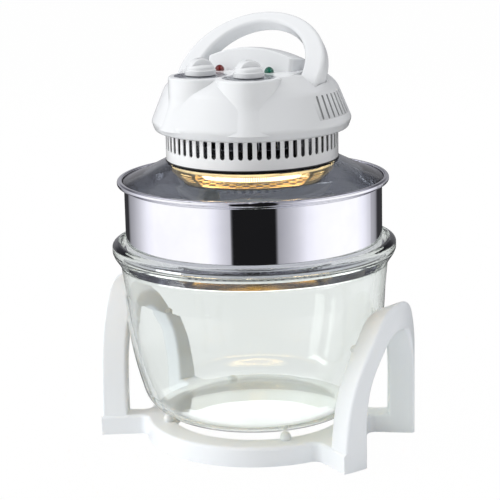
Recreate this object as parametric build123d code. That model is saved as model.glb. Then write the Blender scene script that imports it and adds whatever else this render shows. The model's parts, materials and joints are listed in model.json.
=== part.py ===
from build123d import *
import math
import os

# Countertop halogen oven: a glass bowl in a stand, a steel extender ring on the bowl, and a
# lift-off lid with the lamp, the fan and the controls in its head.
# Millimetres. +Z is up, the front faces -Y, and the origin is on the table under the bowl's axis.
# Angles are degrees round the Z axis, from the X axis, unless a line says otherwise.

# ---- driving dimensions ----------------------------------------------------------------

# clearances and sheet
rest_gap = 0.3            # between pieces of different bodies that rest on each other
run_gap = 0.05            # radial clearance of a turning shaft or pin
slip_gap = 0.6            # around pieces that pass through a hole without touching
stem_gap = 0.1            # around stems and bushes that are held in a hole
thin_sheet = 0.8          # pressed steel parts
thick_sheet = 1.2         # brackets

# glass bowl
bowl_rim_r = 163.0
bowl_height = 234.0
bowl_wall = 5.5
bowl_flat_r = 92.0
bowl_corner_r = 42.0
bowl_corner_sweep = 74.0  # of the corner's arc
bowl_mid_in = 15.9        # from the rim's outside in to the wall half way up
bowl_mid_z = 128.0
bowl_neck_in = 12.4       # from the rim's outside in to the wall under the rim
bowl_neck_drop = 58.0     # from the rim's top down to where that wall begins
rim_depth = 15.0
rim_lip = 11.8            # width of the rim's top
ledge_depth = 12.0        # from the rim's top down to the ledge inside it

# stand
foot_rise = 1.0
foot_r = 9.0
ring_top = 23.5
ring_in = 8.5             # from the pads' circle in to the ring's hole
ring_out = 22.5           # from the pads' circle out to the ring's side
ring_edge_round = 4.0
moulding_wall = 3.5
web_round = 10.0          # where a leg's web meets the ring
arch_clear = 2.4          # between the bowl's neck and an arch
arch_band = 31.0          # depth of an arch, measured away from the Z axis
arch_angle = 31.1         # half angle of an arch at the table
arch_steps = ((29.1, 62.0), (23.9, 115.0), (15.4, 152.0))    # half angle and height
arch_top = 176.0
arch_drop = 13.0          # how much lower its top is on the bowl's side
arch_edge_round = 4.0
window_angle = 20.5
window_steps = ((20.1, 62.0), (17.1, 100.0), (11.4, 124.8))
window_top = 142.0
pad_ball_r = 6.2
pad_out = 15.5            # from the bowl's flat out to the pads' circle
pad_z = 26.9
pad_stem_r = 3.0
pad_stem = 6.0
bumper_angle = 16.0
bumper_sink = 0.6         # how far the bumper's centre is inside the arch
bumper_stem_r = 2.0
bumper_stem = 6.0

# extender ring
extender_height = 72.0    # from the bowl's rim to the top of the bead
curl_gap = 1.3            # between the bowl's lip and the curled foot
curl_step = 2.6           # from the curled foot's outside in to the wall
curl_rise = 3.0
bead_r = 3.4
bead_out = 4.5            # from the wall's outside out to the bead's centre
bead_side = 1.2           # from the bead's inner side in to the upright that it hangs on

# lid glass
lid_sink = 7.4            # from the bead's top down to the underside of the lid's rim
lid_rise = 28.9           # from there up to the flat that carries the head
lid_glass = 5.0
lid_rim_height = 5.5
lid_brim = 24.0           # width of the slow curve next to the rim
lid_brim_rise = 15.2
lid_flat_out = 0.6        # how far the vent ring stands out past the flat
gasket = 1.5

# head: vent ring and cover
vent_r = 98.1
vent_wall = 2.5
vent_height = 32.7
vent_floor = 5.0
vent_floor_lip = 1.0      # how far the ring's floor reaches in past the hole in the lid
vent_count = 60
vent_slot = 5.4
vent_slot_top = 0.5       # from the cover's lower edge down to the slots
vent_slot_length = 20.5
cover_wall = 2.6
shoulder_out = 15.3       # how far the shoulder stands out past the vent ring
shoulder_rise = 12.3      # heights of the head count from the cover's lower edge
slope_out = 0.3
slope_rise = 47.3
slope_blend = 0.08        # share of the slope that eases into the dome
dome_rise = 90.3
dome_edge = 15.0          # from the slope's top in to where the dome starts to ease
panel_rise = 65.3
tower_r = 36.0
tower_x = 30.4
tower_y = -60.5
tower_round = 2.5
tower_knee_rise = 37.3    # where the tower's side starts to flare
tower_flare = 0.4
tower_blend = 30.0
hump_half = 54.0
hump_front = -6.0
hump_lean = 7.0           # the hump's face leans back by this much at the top
hump_corner_round = 5.0
hump_edge_round = 1.6
louvre_count = 7
louvre_step = 5.3
louvre_width = 3.4
louvre_depth = 1.6
louvre_rise = 18.3
louvre_height = 25.0
boss_r = 5.0
boss_in = 12.1            # from the vent ring's outside in to the bosses' circle
boss_angles = (90.0, 210.0, 330.0)
post_r = 4.0
post_in = 14.1
post_angles = (30.0, 150.0, 270.0)
screw_r = 1.6
screw_head_r = 3.2
screw_head = 2.2
screw_bite = 13.0         # length of thread in a boss

# controls
plate_r = 29.5
plate = 0.6
bush_r = 4.5
control_shaft_r = 3.0
knob_r = 17.3
knob_collar = 6.0
knob_height = 19.0
knob_lift = 0.6           # between the dial plate and the knob
grip_turn = 58.0          # of both grips at rest
grip_half = 6.5
grip_in = 1.8             # from the knob's side in to the grip's end
lens_r = 5.5
lens_x = 31.5
lens_y = -15.0
lens_rise = 6.4
lens_stem_r = 4.0
lens_stem = 9.0
lens_wall = 1.2
timer_size = 44.0
timer_depth = 26.0
timer_bell_r = 15.0
timer_bell = 5.0
thermostat_r = 20.0
thermostat_depth = 22.0
rod_r = 3.0

# handle
pivot_y = -10.0
pivot_rise = 48.3
handle_lean = 45.0        # back from upright, with the handle down
handle_half = 90.5
handle_arch = 86.5        # from the arch's centre line to its top
handle_spring = 15.0      # from the pivot to the arch's centre line
handle_side = 24.0        # width of a leg
handle_bridge = 15.0      # width of the grip
handle_thick = 19.5
handle_round = 4.0
handle_swing = 50.0
pocket_side = 1.4
pocket_inner_side = 2.8   # wider, as the legs curve inwards above the pivot
pocket_wall = 2.4
pocket_gap = 0.6
pocket_front = 2.2
pin_r = 3.0
pin_inner_x = 50.0
pin_end = 1.6             # how far a pin ends short of the cover's outside
cam_r = 7.0
cam_throw = 2.9
cam_width = 5.0
cam_x = 53.0
plunger_side = 4.0
plunger_length = 9.0
plunger_play = 0.15
plunger_travel = 2.5
switch_half = 10.0
switch_depth = 13.0

# lamp housing, hung under the hole in the lid
lamp_turn = 28.0          # that its windows are turned from the front
lamp_gasket = 1.0
pan_in = 22.9             # from the vent ring's outside in to the pan's side
pan_gap = 2.8             # between the pan and the hole in the lid
pan_rise = 8.5            # its top above the lid's flat
flange_in = 6.0           # from the lid's flat in to the flange
shroud_drop = 26.9        # depths under the lid's flat
knee_drop = 14.5
shroud_in = 14.5          # from the flange in to the shroud's lower edge
shroud_lip = 6.0
shroud_curl_r = 1.7
window_half_angle = 43.0
window_low_drop = 24.5
window_high_drop = 2.7    # under the flange
shroud_slot_rows = 4
shroud_slot_angle = 13.0
shroud_post_angle = 4.0
rivet_r = 1.3
rivet_head_r = 2.6
rivet_head = 1.2
rivet_in = 6.0
guard_hole_w = 8.4
guard_hole_l = 12.5
guard_step_w = 15.0
guard_step_l = 21.0
guard_rim = 9.0
tube_in = 21.2            # from the pan's side in to the tube's circle
tube_r = 5.0
tube_drop = 19.0
tube_gap_angle = 14.0
tube_stub = 12.0
socket_half = 7.0
socket_base = 11.0
socket_arm = 21.0
pan_screw_angles = (50.0, 170.0, 250.0)
pan_screw_in = 9.2
spacer_r = 3.6

# drive
shaft_r = 3.0
hot_fan_r = 46.0
hot_fan_drop = 9.5
hot_fan_blade = 11.0
cool_fan_r = 60.0
cool_fan_lift = 5.0       # above the heat shield
cool_fan_blade = 10.0
fan_nut_height = 3.5
shield_lift = 10.0        # above the gasket
shield_in = 7.1           # from the vent ring's outside in to the shield's edge
bracket_lift = 22.0       # above the heat shield
bracket_in = 26.1
bracket_hub_r = 24.0
bracket_hole_r = 9.0
bracket_toe = 7.0
bracket_angles = (0.0, 120.0, 240.0)
arm_width = 12.0
motor_lift = 5.0          # above the bracket
motor_core = 18.0
motor_half_x = 28.0
motor_half_y = 22.0
motor_screw_x = 18.0
motor_bearing_r = 8.5
coil_half = 12.0
coil_notch = 6.0
coil_out = 9.0

# cord entry and terminals
gland_r = 6.0
gland_length = 14.0
gland_collar_r = 9.0
gland_collar = 3.0
cord_bore_r = 3.6
gland_rise = 26.3
terminal_half = 16.0
terminal_y = 71.5
terminal_half_width = 6.5
terminal_height = 12.0
terminal_pitch = 7.0
terminal_bore_r = 2.2

# ---- derived places --------------------------------------------------------------------

pad_pitch_r = bowl_flat_r + pad_out
corner_reach = bowl_corner_r + pad_ball_r + rest_gap
bowl_corner_z = pad_z + math.sqrt(corner_reach**2 - pad_out**2)
bowl_mid_r = bowl_rim_r - bowl_mid_in
bowl_neck_r = bowl_rim_r - bowl_neck_in
bowl_neck_z = bowl_height - bowl_neck_drop
bowl_rim_low = bowl_height - rim_depth
bowl_lip_r = bowl_rim_r - rim_lip
bowl_ledge_z = bowl_height - ledge_depth

ring_inner_r = pad_pitch_r - ring_in
ring_outer_r = pad_pitch_r + ring_out
foot_pitch_r = (ring_inner_r + ring_outer_r) / 2
arch_inner_r = bowl_neck_r + arch_clear
arch_outer_r = arch_inner_r + arch_band
bumper_r = arch_inner_r - bumper_sink
bumper_ball_r = bumper_r - bowl_mid_r - rest_gap

half_sheet = thin_sheet / 2
curl_r = bowl_lip_r - curl_gap
extender_r = curl_r - curl_step
extender_top = bowl_height + extender_height
bead_centre_r = extender_r + bead_out
bead_upright_r = bead_centre_r - bead_r + bead_side
lid_rim_r = bead_upright_r - half_sheet - rest_gap
lid_rim_z = extender_top - lid_sink
lid_flat_z = lid_rim_z + lid_rise
lid_flat_r = vent_r - lid_flat_out
lid_low_flat_r = lid_flat_r - lid_glass / 2
gasket_top = lid_flat_z + gasket

pan_cup_r = vent_r - pan_in
lid_hole_r = pan_cup_r + pan_gap
vent_floor_r = lid_hole_r - vent_floor_lip
floor_top = gasket_top + vent_floor
cover_low = gasket_top + vent_height
shoulder_r = vent_r + shoulder_out
shoulder_z = cover_low + shoulder_rise
slope_r = vent_r + slope_out
slope_z = cover_low + slope_rise
dome_top = cover_low + dome_rise
dome_edge_r = slope_r - dome_edge
dome_r = (slope_r**2 + (dome_top - slope_z) ** 2) / (2 * (dome_top - slope_z))
panel_z = cover_low + panel_rise
tower_knee = cover_low + tower_knee_rise
louvre_low = cover_low + louvre_rise
boss_pitch = vent_r - boss_in
post_pitch = vent_r - post_in
vent_slot_high = cover_low - vent_slot_top
vent_slot_low = vent_slot_high - vent_slot_length

pivot_z = cover_low + pivot_rise
half_thick = handle_thick / 2
pocket_in = handle_half - handle_side - pocket_inner_side
pocket_out = handle_half + pocket_side

pan_top = lid_flat_z + pan_rise
pan_skin = pan_top + thin_sheet
pan_flange_r = lid_low_flat_r - flange_in + lid_glass / 2
pan_flange_top = lid_flat_z - lid_glass - lamp_gasket
pan_flange_low = pan_flange_top - thin_sheet
pan_screw_pitch = pan_cup_r - pan_screw_in
shroud_low = lid_flat_z - shroud_drop
shroud_knee = lid_flat_z - knee_drop
shroud_low_r = pan_flange_r - shroud_in
shroud_window_low = lid_flat_z - window_low_drop
shroud_window_high = pan_flange_low - window_high_drop
tube_ring_r = pan_cup_r - tube_in
tube_z = lid_flat_z - tube_drop
hot_fan_z = lid_flat_z - hot_fan_drop
shield_z = gasket_top + shield_lift
shield_top = shield_z + thin_sheet
shield_r = vent_r - shield_in
cool_fan_z = shield_z + cool_fan_lift
bracket_z = shield_z + bracket_lift
bracket_r = vent_r - bracket_in
motor_z = bracket_z + motor_lift
motor_top = motor_z + motor_core
shaft_low = hot_fan_z - fan_nut_height - 2.5
shaft_high = motor_top + 5.0
gland_z = cover_low + gland_rise
rod_place = (tower_x, tower_y)

nodes = {}


# ---- helpers ---------------------------------------------------------------------------


def disc(r, low, high, x=0.0, y=0.0):
    return Pos(x, y, (low + high) / 2) * Cylinder(r, high - low)


def tube(outer, inner, low, high, x=0.0, y=0.0):
    return disc(outer, low, high, x, y) - disc(inner, low - 1, high + 1, x, y)


def bore(r, x=0.0, y=0.0):
    """Upright cutter that is longer than the object is high."""
    return disc(r, -10, 2 * dome_top, x, y)


def block(x0, x1, y0, y1, z0, z1):
    middle = Pos((x0 + x1) / 2, (y0 + y1) / 2, (z0 + z1) / 2)
    return middle * Box(x1 - x0, y1 - y0, z1 - z0)


def turned(corners):
    """Solid turned about Z from corners given as (radius, height, fillet radius)."""
    points = [(r, z) for r, z, _ in corners]
    rounds = [fillet_r for _, _, fillet_r in corners]
    outline = FilletPolyline(*points, radius=rounds, close=True)
    return revolve(Plane.XZ * make_face(outline), Axis.Z)


def side_shape(points, rounds, x0, x1):
    """Solid whose outline is drawn in Y and Z and that runs from x0 to x1."""
    outline = FilletPolyline(*points, radius=rounds, close=True)
    return Pos(x0, 0, 0) * extrude(Plane.YZ * make_face(outline), x1 - x0)


def around(shape, angles):
    return [Rot(0, 0, angle) * shape for angle in angles]


def at_angle(r, angle):
    return r * math.cos(math.radians(angle)), r * math.sin(math.radians(angle))


def save(name, *pieces):
    solids = []
    for piece in pieces:
        solids += piece.solids()
    nodes[name] = Compound(children=solids) if len(solids) > 1 else solids[0]


# ---- stand -----------------------------------------------------------------------------


def arch_section(x, low, base_angle, steps, top, drop):
    """Closed outline in the plane at x of an arch whose sides point at the Z axis."""

    def across(angle):
        return x * math.tan(math.radians(angle))

    neck, shoulder, crown = [(across(angle), z - drop * z / top) for angle, z in steps]
    base = (across(base_angle), low)
    rise = (neck[0] - base[0], neck[1] - low)
    right = Spline(base, neck, shoulder, crown, (0, top - drop), tangents=(rise, (-1, 0)))
    left = mirror(right, Plane.YZ)
    return Plane.YZ.offset(x) * make_face([right, left, Line(base, (-base[0], low))])


def arch_solid(low, base_angle, steps, top, drop):
    """Arch outline carried outwards, and lower by drop at the inner radius than at the outer."""
    sections = []
    for x in (arch_inner_r * 0.8, arch_outer_r * 1.05):
        lower = drop * (arch_outer_r - x) / arch_band
        sections.append(arch_section(x, low, base_angle, steps, top, lower))
    return loft(sections, ruled=True)


def arch_form(inset):
    """One upright, or the hollow in it when inset is the wall."""
    turn = math.degrees(inset / arch_outer_r)
    low = foot_rise - 2 * inset
    outline = [(angle - turn, z - inset) for angle, z in arch_steps]
    opening = [(angle + turn, z + inset) for angle, z in window_steps]
    side = arch_solid(low, arch_angle - turn, outline, arch_top - inset, arch_drop)
    window = arch_solid(low - 1, window_angle + turn, opening, window_top + inset, 0.0)
    band = tube(arch_outer_r - inset, arch_inner_r + inset, low - 1, arch_top + arch_drop)
    return (side - window) & band


def base_plan():
    """Plan of the base: a ring with four webs that run out to the legs."""
    plan = Circle(ring_outer_r)
    for side in (1, -1):
        for end in (1, -1):
            far = at_angle(2 * arch_outer_r, arch_angle)
            near = at_angle(2 * arch_outer_r, window_angle)
            corners = [(0, 0), (side * far[0], end * far[1]), (side * near[0], end * near[1])]
            plan += make_face(Polyline(*corners, close=True))
    plan = plan & Circle(arch_outer_r)
    inner_corners = plan.vertices().filter_by(
        lambda v: abs(math.hypot(v.X, v.Y) - ring_outer_r) < 0.1
    )
    return fillet(inner_corners, web_round) - Circle(ring_inner_r)


def pad_places():
    return [at_angle(pad_pitch_r, 45 + 90 * step) for step in range(4)]


def foot_places():
    return [at_angle(foot_pitch_r, 45 + 90 * step) for step in range(4)]


def bumper_places():
    x, y = at_angle(bumper_r, bumper_angle)
    return [(sx * x, sy * y) for sx in (1, -1) for sy in (1, -1)]


def make_stand():
    base = Pos(0, 0, foot_rise) * extrude(base_plan(), ring_top - foot_rise)
    top_edges = base.edges().filter_by(
        lambda e: abs(e.center().Z - ring_top) < 0.01
        and math.hypot(e.center().X, e.center().Y) < arch_inner_r
    )
    base = fillet(top_edges, ring_edge_round)
    upright = arch_form(0)
    stand = base + upright + mirror(upright, Plane.YZ)
    arch_edges = stand.edges().filter_by(
        lambda e: e.center().Z > ring_top + 8
        and e.geom_type != GeomType.LINE
        and abs(e.bounding_box().size.Z) > 20
    )
    stand = fillet(arch_edges, arch_edge_round)
    inside = ring_inner_r + moulding_wall
    outside = ring_outer_r - moulding_wall
    channel = tube(outside, inside, 0, ring_top - moulding_wall)
    post_half = (outside - inside) / 2 + moulding_wall / 2
    posts = [disc(post_half, foot_rise, ring_top - 1, x, y) for x, y in foot_places()]
    stand = stand - channel + posts
    hollow = arch_form(moulding_wall)
    stand = stand - hollow - mirror(hollow, Plane.YZ)
    for x, y in foot_places():
        stand -= disc(foot_r, 0, foot_rise + 2, x, y)
    for x, y in pad_places():
        stand -= disc(pad_stem_r, ring_top - pad_stem, ring_top + 9, x, y)
        stand -= Pos(x, y, pad_z) * Sphere(pad_ball_r)
    for x, y in bumper_places():
        stand -= bumper(x, y)
    save("stand", stand)


def bumper(x, y):
    outward = math.degrees(math.atan2(y, x))
    stem = Pos(bumper_stem / 2, 0, 0) * Rot(0, 90, 0) * Cylinder(bumper_stem_r, bumper_stem)
    return Pos(x, y, bowl_mid_z) * (Sphere(bumper_ball_r) + Rot(0, 0, outward) * stem)


def make_pads():
    pads = []
    for x, y in pad_places():
        stem = disc(pad_stem_r, ring_top - pad_stem, pad_z, x, y)
        pads.append(stem + Pos(x, y, pad_z) * Sphere(pad_ball_r))
    save("ring_pads", *pads)
    save("feet", *[disc(foot_r, 0, foot_rise + 2, x, y) for x, y in foot_places()])
    save("side_pads", *[bumper(x, y) for x, y in bumper_places()])


# ---- bowl and extender ring ------------------------------------------------------------


def bowl_profile(inset):
    """Outline of the bowl from its centre to the neck, moved inwards by inset."""
    corner_r = bowl_corner_r - inset
    sweep = math.radians(bowl_corner_sweep)
    low = (bowl_flat_r, bowl_corner_z - corner_r)
    half = (
        bowl_flat_r + corner_r * math.sin(sweep / 2),
        bowl_corner_z - corner_r * math.cos(sweep / 2),
    )
    high = (
        bowl_flat_r + corner_r * math.sin(sweep),
        bowl_corner_z - corner_r * math.cos(sweep),
    )
    floor_line = Line((0, low[1]), low)
    corner = ThreePointArc(low, half, high)
    mid = (bowl_mid_r - inset, bowl_mid_z)
    neck = (bowl_neck_r - inset, bowl_neck_z)
    wall = Spline(high, mid, neck, tangents=(corner % 1, (0.06, 1)))
    return floor_line, corner, wall, neck


def make_bowl():
    outer_floor, outer_corner, outer_wall, outer_neck = bowl_profile(0)
    inner_floor, inner_corner, inner_wall, inner_neck = bowl_profile(bowl_wall)
    rim = FilletPolyline(
        outer_neck,
        (bowl_neck_r + 3.0, bowl_rim_low - 12),
        (bowl_rim_r - 1.5, bowl_rim_low),
        (bowl_rim_r, bowl_rim_low + 4),
        (bowl_rim_r, bowl_height - 3),
        (bowl_rim_r - 6.0, bowl_height),
        (bowl_lip_r, bowl_height),
        (bowl_lip_r, bowl_ledge_z),
        (inner_neck[0] + 1.5, bowl_ledge_z),
        inner_neck,
        radius=[12.0, 3.0, 3.0, 3.5, 6.0, 2.5, 0.5, 1.0],
    )
    axis_line = Line(inner_floor @ 0, outer_floor @ 0)
    outline = make_face(
        [
            outer_floor,
            outer_corner,
            outer_wall,
            rim,
            inner_wall,
            inner_corner,
            inner_floor,
            axis_line,
        ]
    )
    save("glass_bowl", revolve(Plane.XZ * outline, Axis.Z))


def make_extender():
    wall_r = extender_r - half_sheet
    foot_z = bowl_ledge_z + rest_gap + half_sheet
    shelf_z = lid_rim_z - rest_gap - half_sheet
    top = extender_top - half_sheet
    bead_side_r = bead_centre_r + bead_r - half_sheet
    bead_low = extender_top - 2 * bead_r + 1.0
    path = FilletPolyline(
        (curl_r - half_sheet, foot_z + curl_rise - half_sheet),
        (curl_r - half_sheet, foot_z),
        (wall_r, foot_z),
        (wall_r, shelf_z),
        (bead_upright_r, shelf_z),
        (bead_upright_r, top),
        (bead_side_r, top),
        (bead_side_r, bead_low),
        (bead_centre_r + 0.6, bead_low),
        radius=[0.6, 1.2, 1.2, 1.0, 1.2, 2.2, 2.2],
    )
    sheet = trace(path, thin_sheet)
    save("extender_ring", revolve(Plane.XZ * sheet, Axis.Z))


# ---- lid glass and gaskets -------------------------------------------------------------


def make_lid():
    top = lid_flat_z
    low = lid_flat_z - lid_glass
    glass = turned(
        [
            (lid_hole_r, low, 1.5),
            (lid_low_flat_r, low, 8.0),
            (lid_rim_r - lid_brim - 2.0, lid_rim_z + lid_brim_rise - 5.2, 60.0),
            (lid_rim_r - 5.5, lid_rim_z, 2.0),
            (lid_rim_r, lid_rim_z, 2.0),
            (lid_rim_r, lid_rim_z + lid_rim_height, 2.2),
            (lid_rim_r - lid_brim, lid_rim_z + lid_brim_rise, 60.0),
            (lid_flat_r, top, 8.0),
            (lid_hole_r, top, 1.5),
        ]
    )
    save("lid_glass", glass)
    gasket_in = lid_hole_r + 4
    save("head_gasket", tube(vent_r + 0.5, gasket_in, lid_flat_z, gasket_top))
    save("lamp_gasket", tube(pan_flange_r - 1, gasket_in, pan_flange_top, low))


# ---- head: vent ring and cover ---------------------------------------------------------


def screw_seats(ring):
    """Counterbored holes in the ring's floor for the screws that hold the cover."""
    seat = gasket_top + screw_head + 0.4
    for angle in boss_angles:
        x, y = at_angle(boss_pitch, angle)
        ring -= disc(screw_r + 0.2, gasket_top - 1, floor_top + 1, x, y)
        ring -= disc(screw_head_r + 0.3, gasket_top - 1, seat, x, y)
    return ring


def make_vent_ring():
    ring = tube(vent_r, vent_r - vent_wall, gasket_top, cover_low + 4)
    ring += tube(vent_r - vent_wall + 0.5, vent_floor_r, gasket_top, floor_top)
    ring += [
        disc(post_r, floor_top - 1, shield_z, *at_angle(post_pitch, angle)) for angle in post_angles
    ]
    slot = SlotOverall(vent_slot_length, vent_slot, rotation=90)
    cutter = extrude(Plane.YZ * slot, 4 * vent_wall, both=True)
    cutter = Pos(vent_r, 0, (vent_slot_low + vent_slot_high) / 2) * cutter
    step = 360 / vent_count
    ring -= around(cutter, [step * (index + 0.5) for index in range(vent_count)])
    ring = screw_seats(ring)
    for angle in post_angles:
        ring -= disc(screw_r, floor_top, shield_z + 1, *at_angle(post_pitch, angle))
    save("vent_ring", ring)


def dome_point(r_outer, inset):
    """Point of the dome where its outer radius is r_outer, moved inwards by inset."""
    angle = math.asin(r_outer / dome_r)
    inner_r = dome_r - inset
    return inner_r * math.sin(angle), dome_top - dome_r + inner_r * math.cos(angle)


def head_body(inset):
    """Turned body of the cover, moved inwards by inset, before the panel is cut."""
    low = cover_low + inset
    crown = dome_point(0, inset)
    edge = dome_point(dome_edge_r, inset)
    dome = ThreePointArc(crown, dome_point(dome_edge_r / 2, inset), edge)
    slope = (shoulder_r - slope_r, shoulder_z - slope_z)
    joined = (slope_r + slope[0] * slope_blend - inset, slope_z + slope[1] * slope_blend)
    blend = Spline(edge, joined, tangents=(dome % 1, slope))
    side = FilletPolyline(
        joined,
        (shoulder_r - inset, shoulder_z - 1.5),
        (shoulder_r - 4 - inset, low),
        (0, low),
        radius=[6.5 - inset * 0.6, 4.0],
    )
    axis_line = Line((0, low), crown)
    return revolve(Plane.XZ * make_face([dome, blend, side, axis_line]), Axis.Z)


def tower(side, inset):
    """Round column under a knob, whose foot flares out until it sinks in the slope."""
    r = tower_r - inset
    low = shoulder_z - 5
    column = turned(
        [
            (0, low, 0),
            (r + (tower_knee - low) * tower_flare, low, 0),
            (r, tower_knee, tower_blend),
            (r, panel_z - inset, tower_round),
            (0, panel_z - inset, 0),
        ]
    )
    return Pos(side * tower_x, tower_y, 0) * column


def hump_keep(inset):
    """Space over the panel that the hump may fill."""
    rise = dome_top + 5 - panel_z
    lean = hump_lean * rise / (dome_top - panel_z)
    front = hump_front + inset
    points = [
        (front, panel_z - inset - 1),
        (front + lean, dome_top + 5),
        (shoulder_r, dome_top + 5),
        (shoulder_r, panel_z - inset - 1),
    ]
    half = hump_half - inset
    return side_shape(points, [0, 0, 0, 0], -half, half)


def head_form(inset):
    """Outer form of the cover, or its inner form when inset is the wall."""
    body = head_body(inset)
    reach = 2 * shoulder_r
    above = block(-reach, reach, -reach, reach, panel_z - inset, dome_top + 10)
    body = body - (above - hump_keep(inset))
    return body + tower(1, inset) + tower(-1, inset)


def rounded_hump(body):
    """Rounds the hump's upright corners and then the edge along its top."""
    upright = body.edges().filter_by(
        lambda e: e.geom_type == GeomType.LINE
        and e.center().Z > panel_z
        and e.bounding_box().size.Z > hump_edge_round
    )
    body = fillet(upright, hump_corner_round)
    top = body.edges().filter_by(
        lambda e: e.geom_type == GeomType.CIRCLE
        and e.bounding_box().min.Z > panel_z - 0.1
        and e.bounding_box().size.Z > hump_corner_round
    )
    return fillet(top, hump_edge_round)


def pocket_outline(grow):
    """Side view of the space that a handle leg swings in, widened by grow."""
    lean = math.radians(handle_lean)
    along = (math.sin(lean), math.cos(lean))
    back = (math.cos(lean), -math.sin(lean))
    clear = half_thick + pocket_gap + grow
    reach = 90.0
    rear_high = (
        pivot_y + along[0] * reach + back[0] * clear,
        pivot_z + along[1] * reach + back[1] * clear,
    )
    low = pivot_z - half_thick - pocket_gap - grow
    drop = rear_high[1] - low
    rear_low = (rear_high[0] - drop * math.tan(lean), low)
    front = pivot_y - (half_thick + pocket_front + grow)
    return [(front, low), (front, rear_high[1]), rear_high, rear_low]


def louvre_cuts():
    cuts = []
    slope = math.degrees(math.atan2(shoulder_r - slope_r, slope_z - shoulder_z))
    middle_z = louvre_low + louvre_height / 2
    middle_r = slope_r + (slope_z - middle_z) * math.tan(math.radians(slope))
    long = louvre_height / math.cos(math.radians(slope))
    cutter = extrude(Plane.YZ * SlotOverall(long, louvre_width, rotation=90), 6)
    cutter = Pos(middle_r - louvre_depth, 0, middle_z) * Rot(0, -slope, 0) * cutter
    first = -(louvre_count - 1) / 2 * louvre_step
    for side in (0, 180):
        angles = [side + first + louvre_step * index for index in range(louvre_count)]
        cuts += around(cutter, angles)
    return cuts


def cover_pockets(cover, outer):
    """Adds the walled pockets that the handle's legs swing in."""
    no_rounds = [0, 0, 0, 0]
    for sx in (1, -1):
        x0 = pocket_in - pocket_wall
        wall = side_shape(pocket_outline(pocket_wall), no_rounds, x0, pocket_out + 4)
        wall += block(
            x0, pocket_in, pivot_y - 12, pivot_y + 12, pivot_z - switch_depth * 2.6, pivot_z
        )
        wall = wall if sx == 1 else mirror(wall, Plane.YZ)
        cover += wall & outer
    for sx in (1, -1):
        hollow = side_shape(pocket_outline(0), no_rounds, pocket_in, pocket_out)
        cover -= hollow if sx == 1 else mirror(hollow, Plane.YZ)
    return cover


def make_cover():
    outer = rounded_hump(head_form(0)) - louvre_cuts()
    inner = head_form(cover_wall) + disc(vent_r + rest_gap, cover_low - 1, cover_low + 4)
    cover = cover_pockets(outer - inner, outer)
    boss_space = head_body(cover_wall / 2) + disc(vent_r - 4, floor_top, shoulder_z)
    for angle in boss_angles:
        boss = disc(boss_r, floor_top, pivot_z + 6, *at_angle(boss_pitch, angle))
        cover += boss & boss_space
    for angle in boss_angles:
        x, y = at_angle(boss_pitch, angle)
        cover -= disc(screw_r, floor_top - 1, floor_top + screw_bite + 1, x, y)
    pin_hole = Rot(0, 90, 0) * Cylinder(pin_r + run_gap, 2 * (pocket_out + 2))
    cover -= Pos(0, pivot_y, pivot_z) * pin_hole
    for sx in (1, -1):
        x = sx * tower_x
        cover -= disc(bush_r + stem_gap, panel_z - 10, panel_z + 1, x, tower_y)
        cover -= disc(plate_r, panel_z - plate, panel_z + 1, x, tower_y)
        cover -= disc(lens_stem_r + stem_gap, panel_z - 10, panel_z + 1, sx * lens_x, lens_y)
    cover -= Pos(0, shoulder_r - 4, gland_z) * Rot(90, 0, 0) * Cylinder(gland_r + stem_gap, 30)
    save("head_cover", cover)


# ---- controls --------------------------------------------------------------------------


def make_panel():
    hole = bush_r + stem_gap
    for name, sx in (("timer", -1), ("thermostat", 1)):
        x = sx * tower_x
        save(name + "_dial_plate", tube(plate_r, hole, panel_z - plate, panel_z, x, tower_y))
    stem_low = panel_z - lens_stem
    for name, sx in (("power_lens", -1), ("heating_lens", 1)):
        x = sx * lens_x
        dome = Pos(x, lens_y, panel_z) * scale(Sphere(lens_r), (1, 1, lens_rise / lens_r))
        dome = dome & disc(lens_r + 1, panel_z, panel_z + lens_rise + 1, x, lens_y)
        stem = disc(lens_stem_r, stem_low, panel_z, x, lens_y)
        hollow = disc(lens_stem_r - lens_wall, stem_low - 1, panel_z - 1, x, lens_y)
        save(name, dome + stem - hollow)
    bulbs = []
    for sx in (-1, 1):
        x = sx * lens_x
        glass = disc(2.2, stem_low, panel_z - 2.2, x, lens_y)
        holder = disc(lens_stem_r - 0.4, stem_low - 6, stem_low, x, lens_y)
        bulbs.append(glass + holder)
    save("indicator_bulbs", *bulbs)


def control_bush(x, low):
    return disc(bush_r, low, panel_z + 4, x, tower_y)


def shaft_bore(x, top):
    return disc(control_shaft_r + run_gap, top - 15, panel_z + 10, x, tower_y)


def make_timer():
    x = -tower_x
    top = panel_z - cover_wall
    low = top - timer_depth
    half = timer_size / 2
    y = tower_y + 2
    case = block(x - half, x + half, y - half, y + half, low, top)
    case = fillet(case.edges().filter_by(Axis.Z), 5)
    bell = disc(timer_bell_r, low - timer_bell, low, x, y)
    body = case + bell + control_bush(x, top) - shaft_bore(x, top)
    body -= block(x - half - 1, x - half + 5, y - half - 1, y - half + 7, low - 1, top + 1)
    save("timer_unit", body)


def make_thermostat():
    x = tower_x
    top = panel_z - cover_wall
    low = top - thermostat_depth
    body = disc(thermostat_r, low, top, x, tower_y) + control_bush(x, top)
    edge_y = tower_y + thermostat_r
    body += block(x - 7, x + 7, edge_y - 3, edge_y + 6, low, low + 8)
    save("thermostat_unit", body - shaft_bore(x, top))
    rod = disc(rod_r, pan_flange_top + 1, low, *rod_place)
    save("thermostat_rod", fillet(rod.edges().group_by(Axis.Z)[0], 2.0))


def make_nuts():
    nuts = []
    for sx in (-1, 1):
        nut = extrude(RegularPolygon(bush_r + 3.5, 6), 2.6) - Cylinder(bush_r, 20)
        nuts.append(Pos(sx * tower_x, tower_y, panel_z) * nut)
    save("panel_nuts", *nuts)


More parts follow.
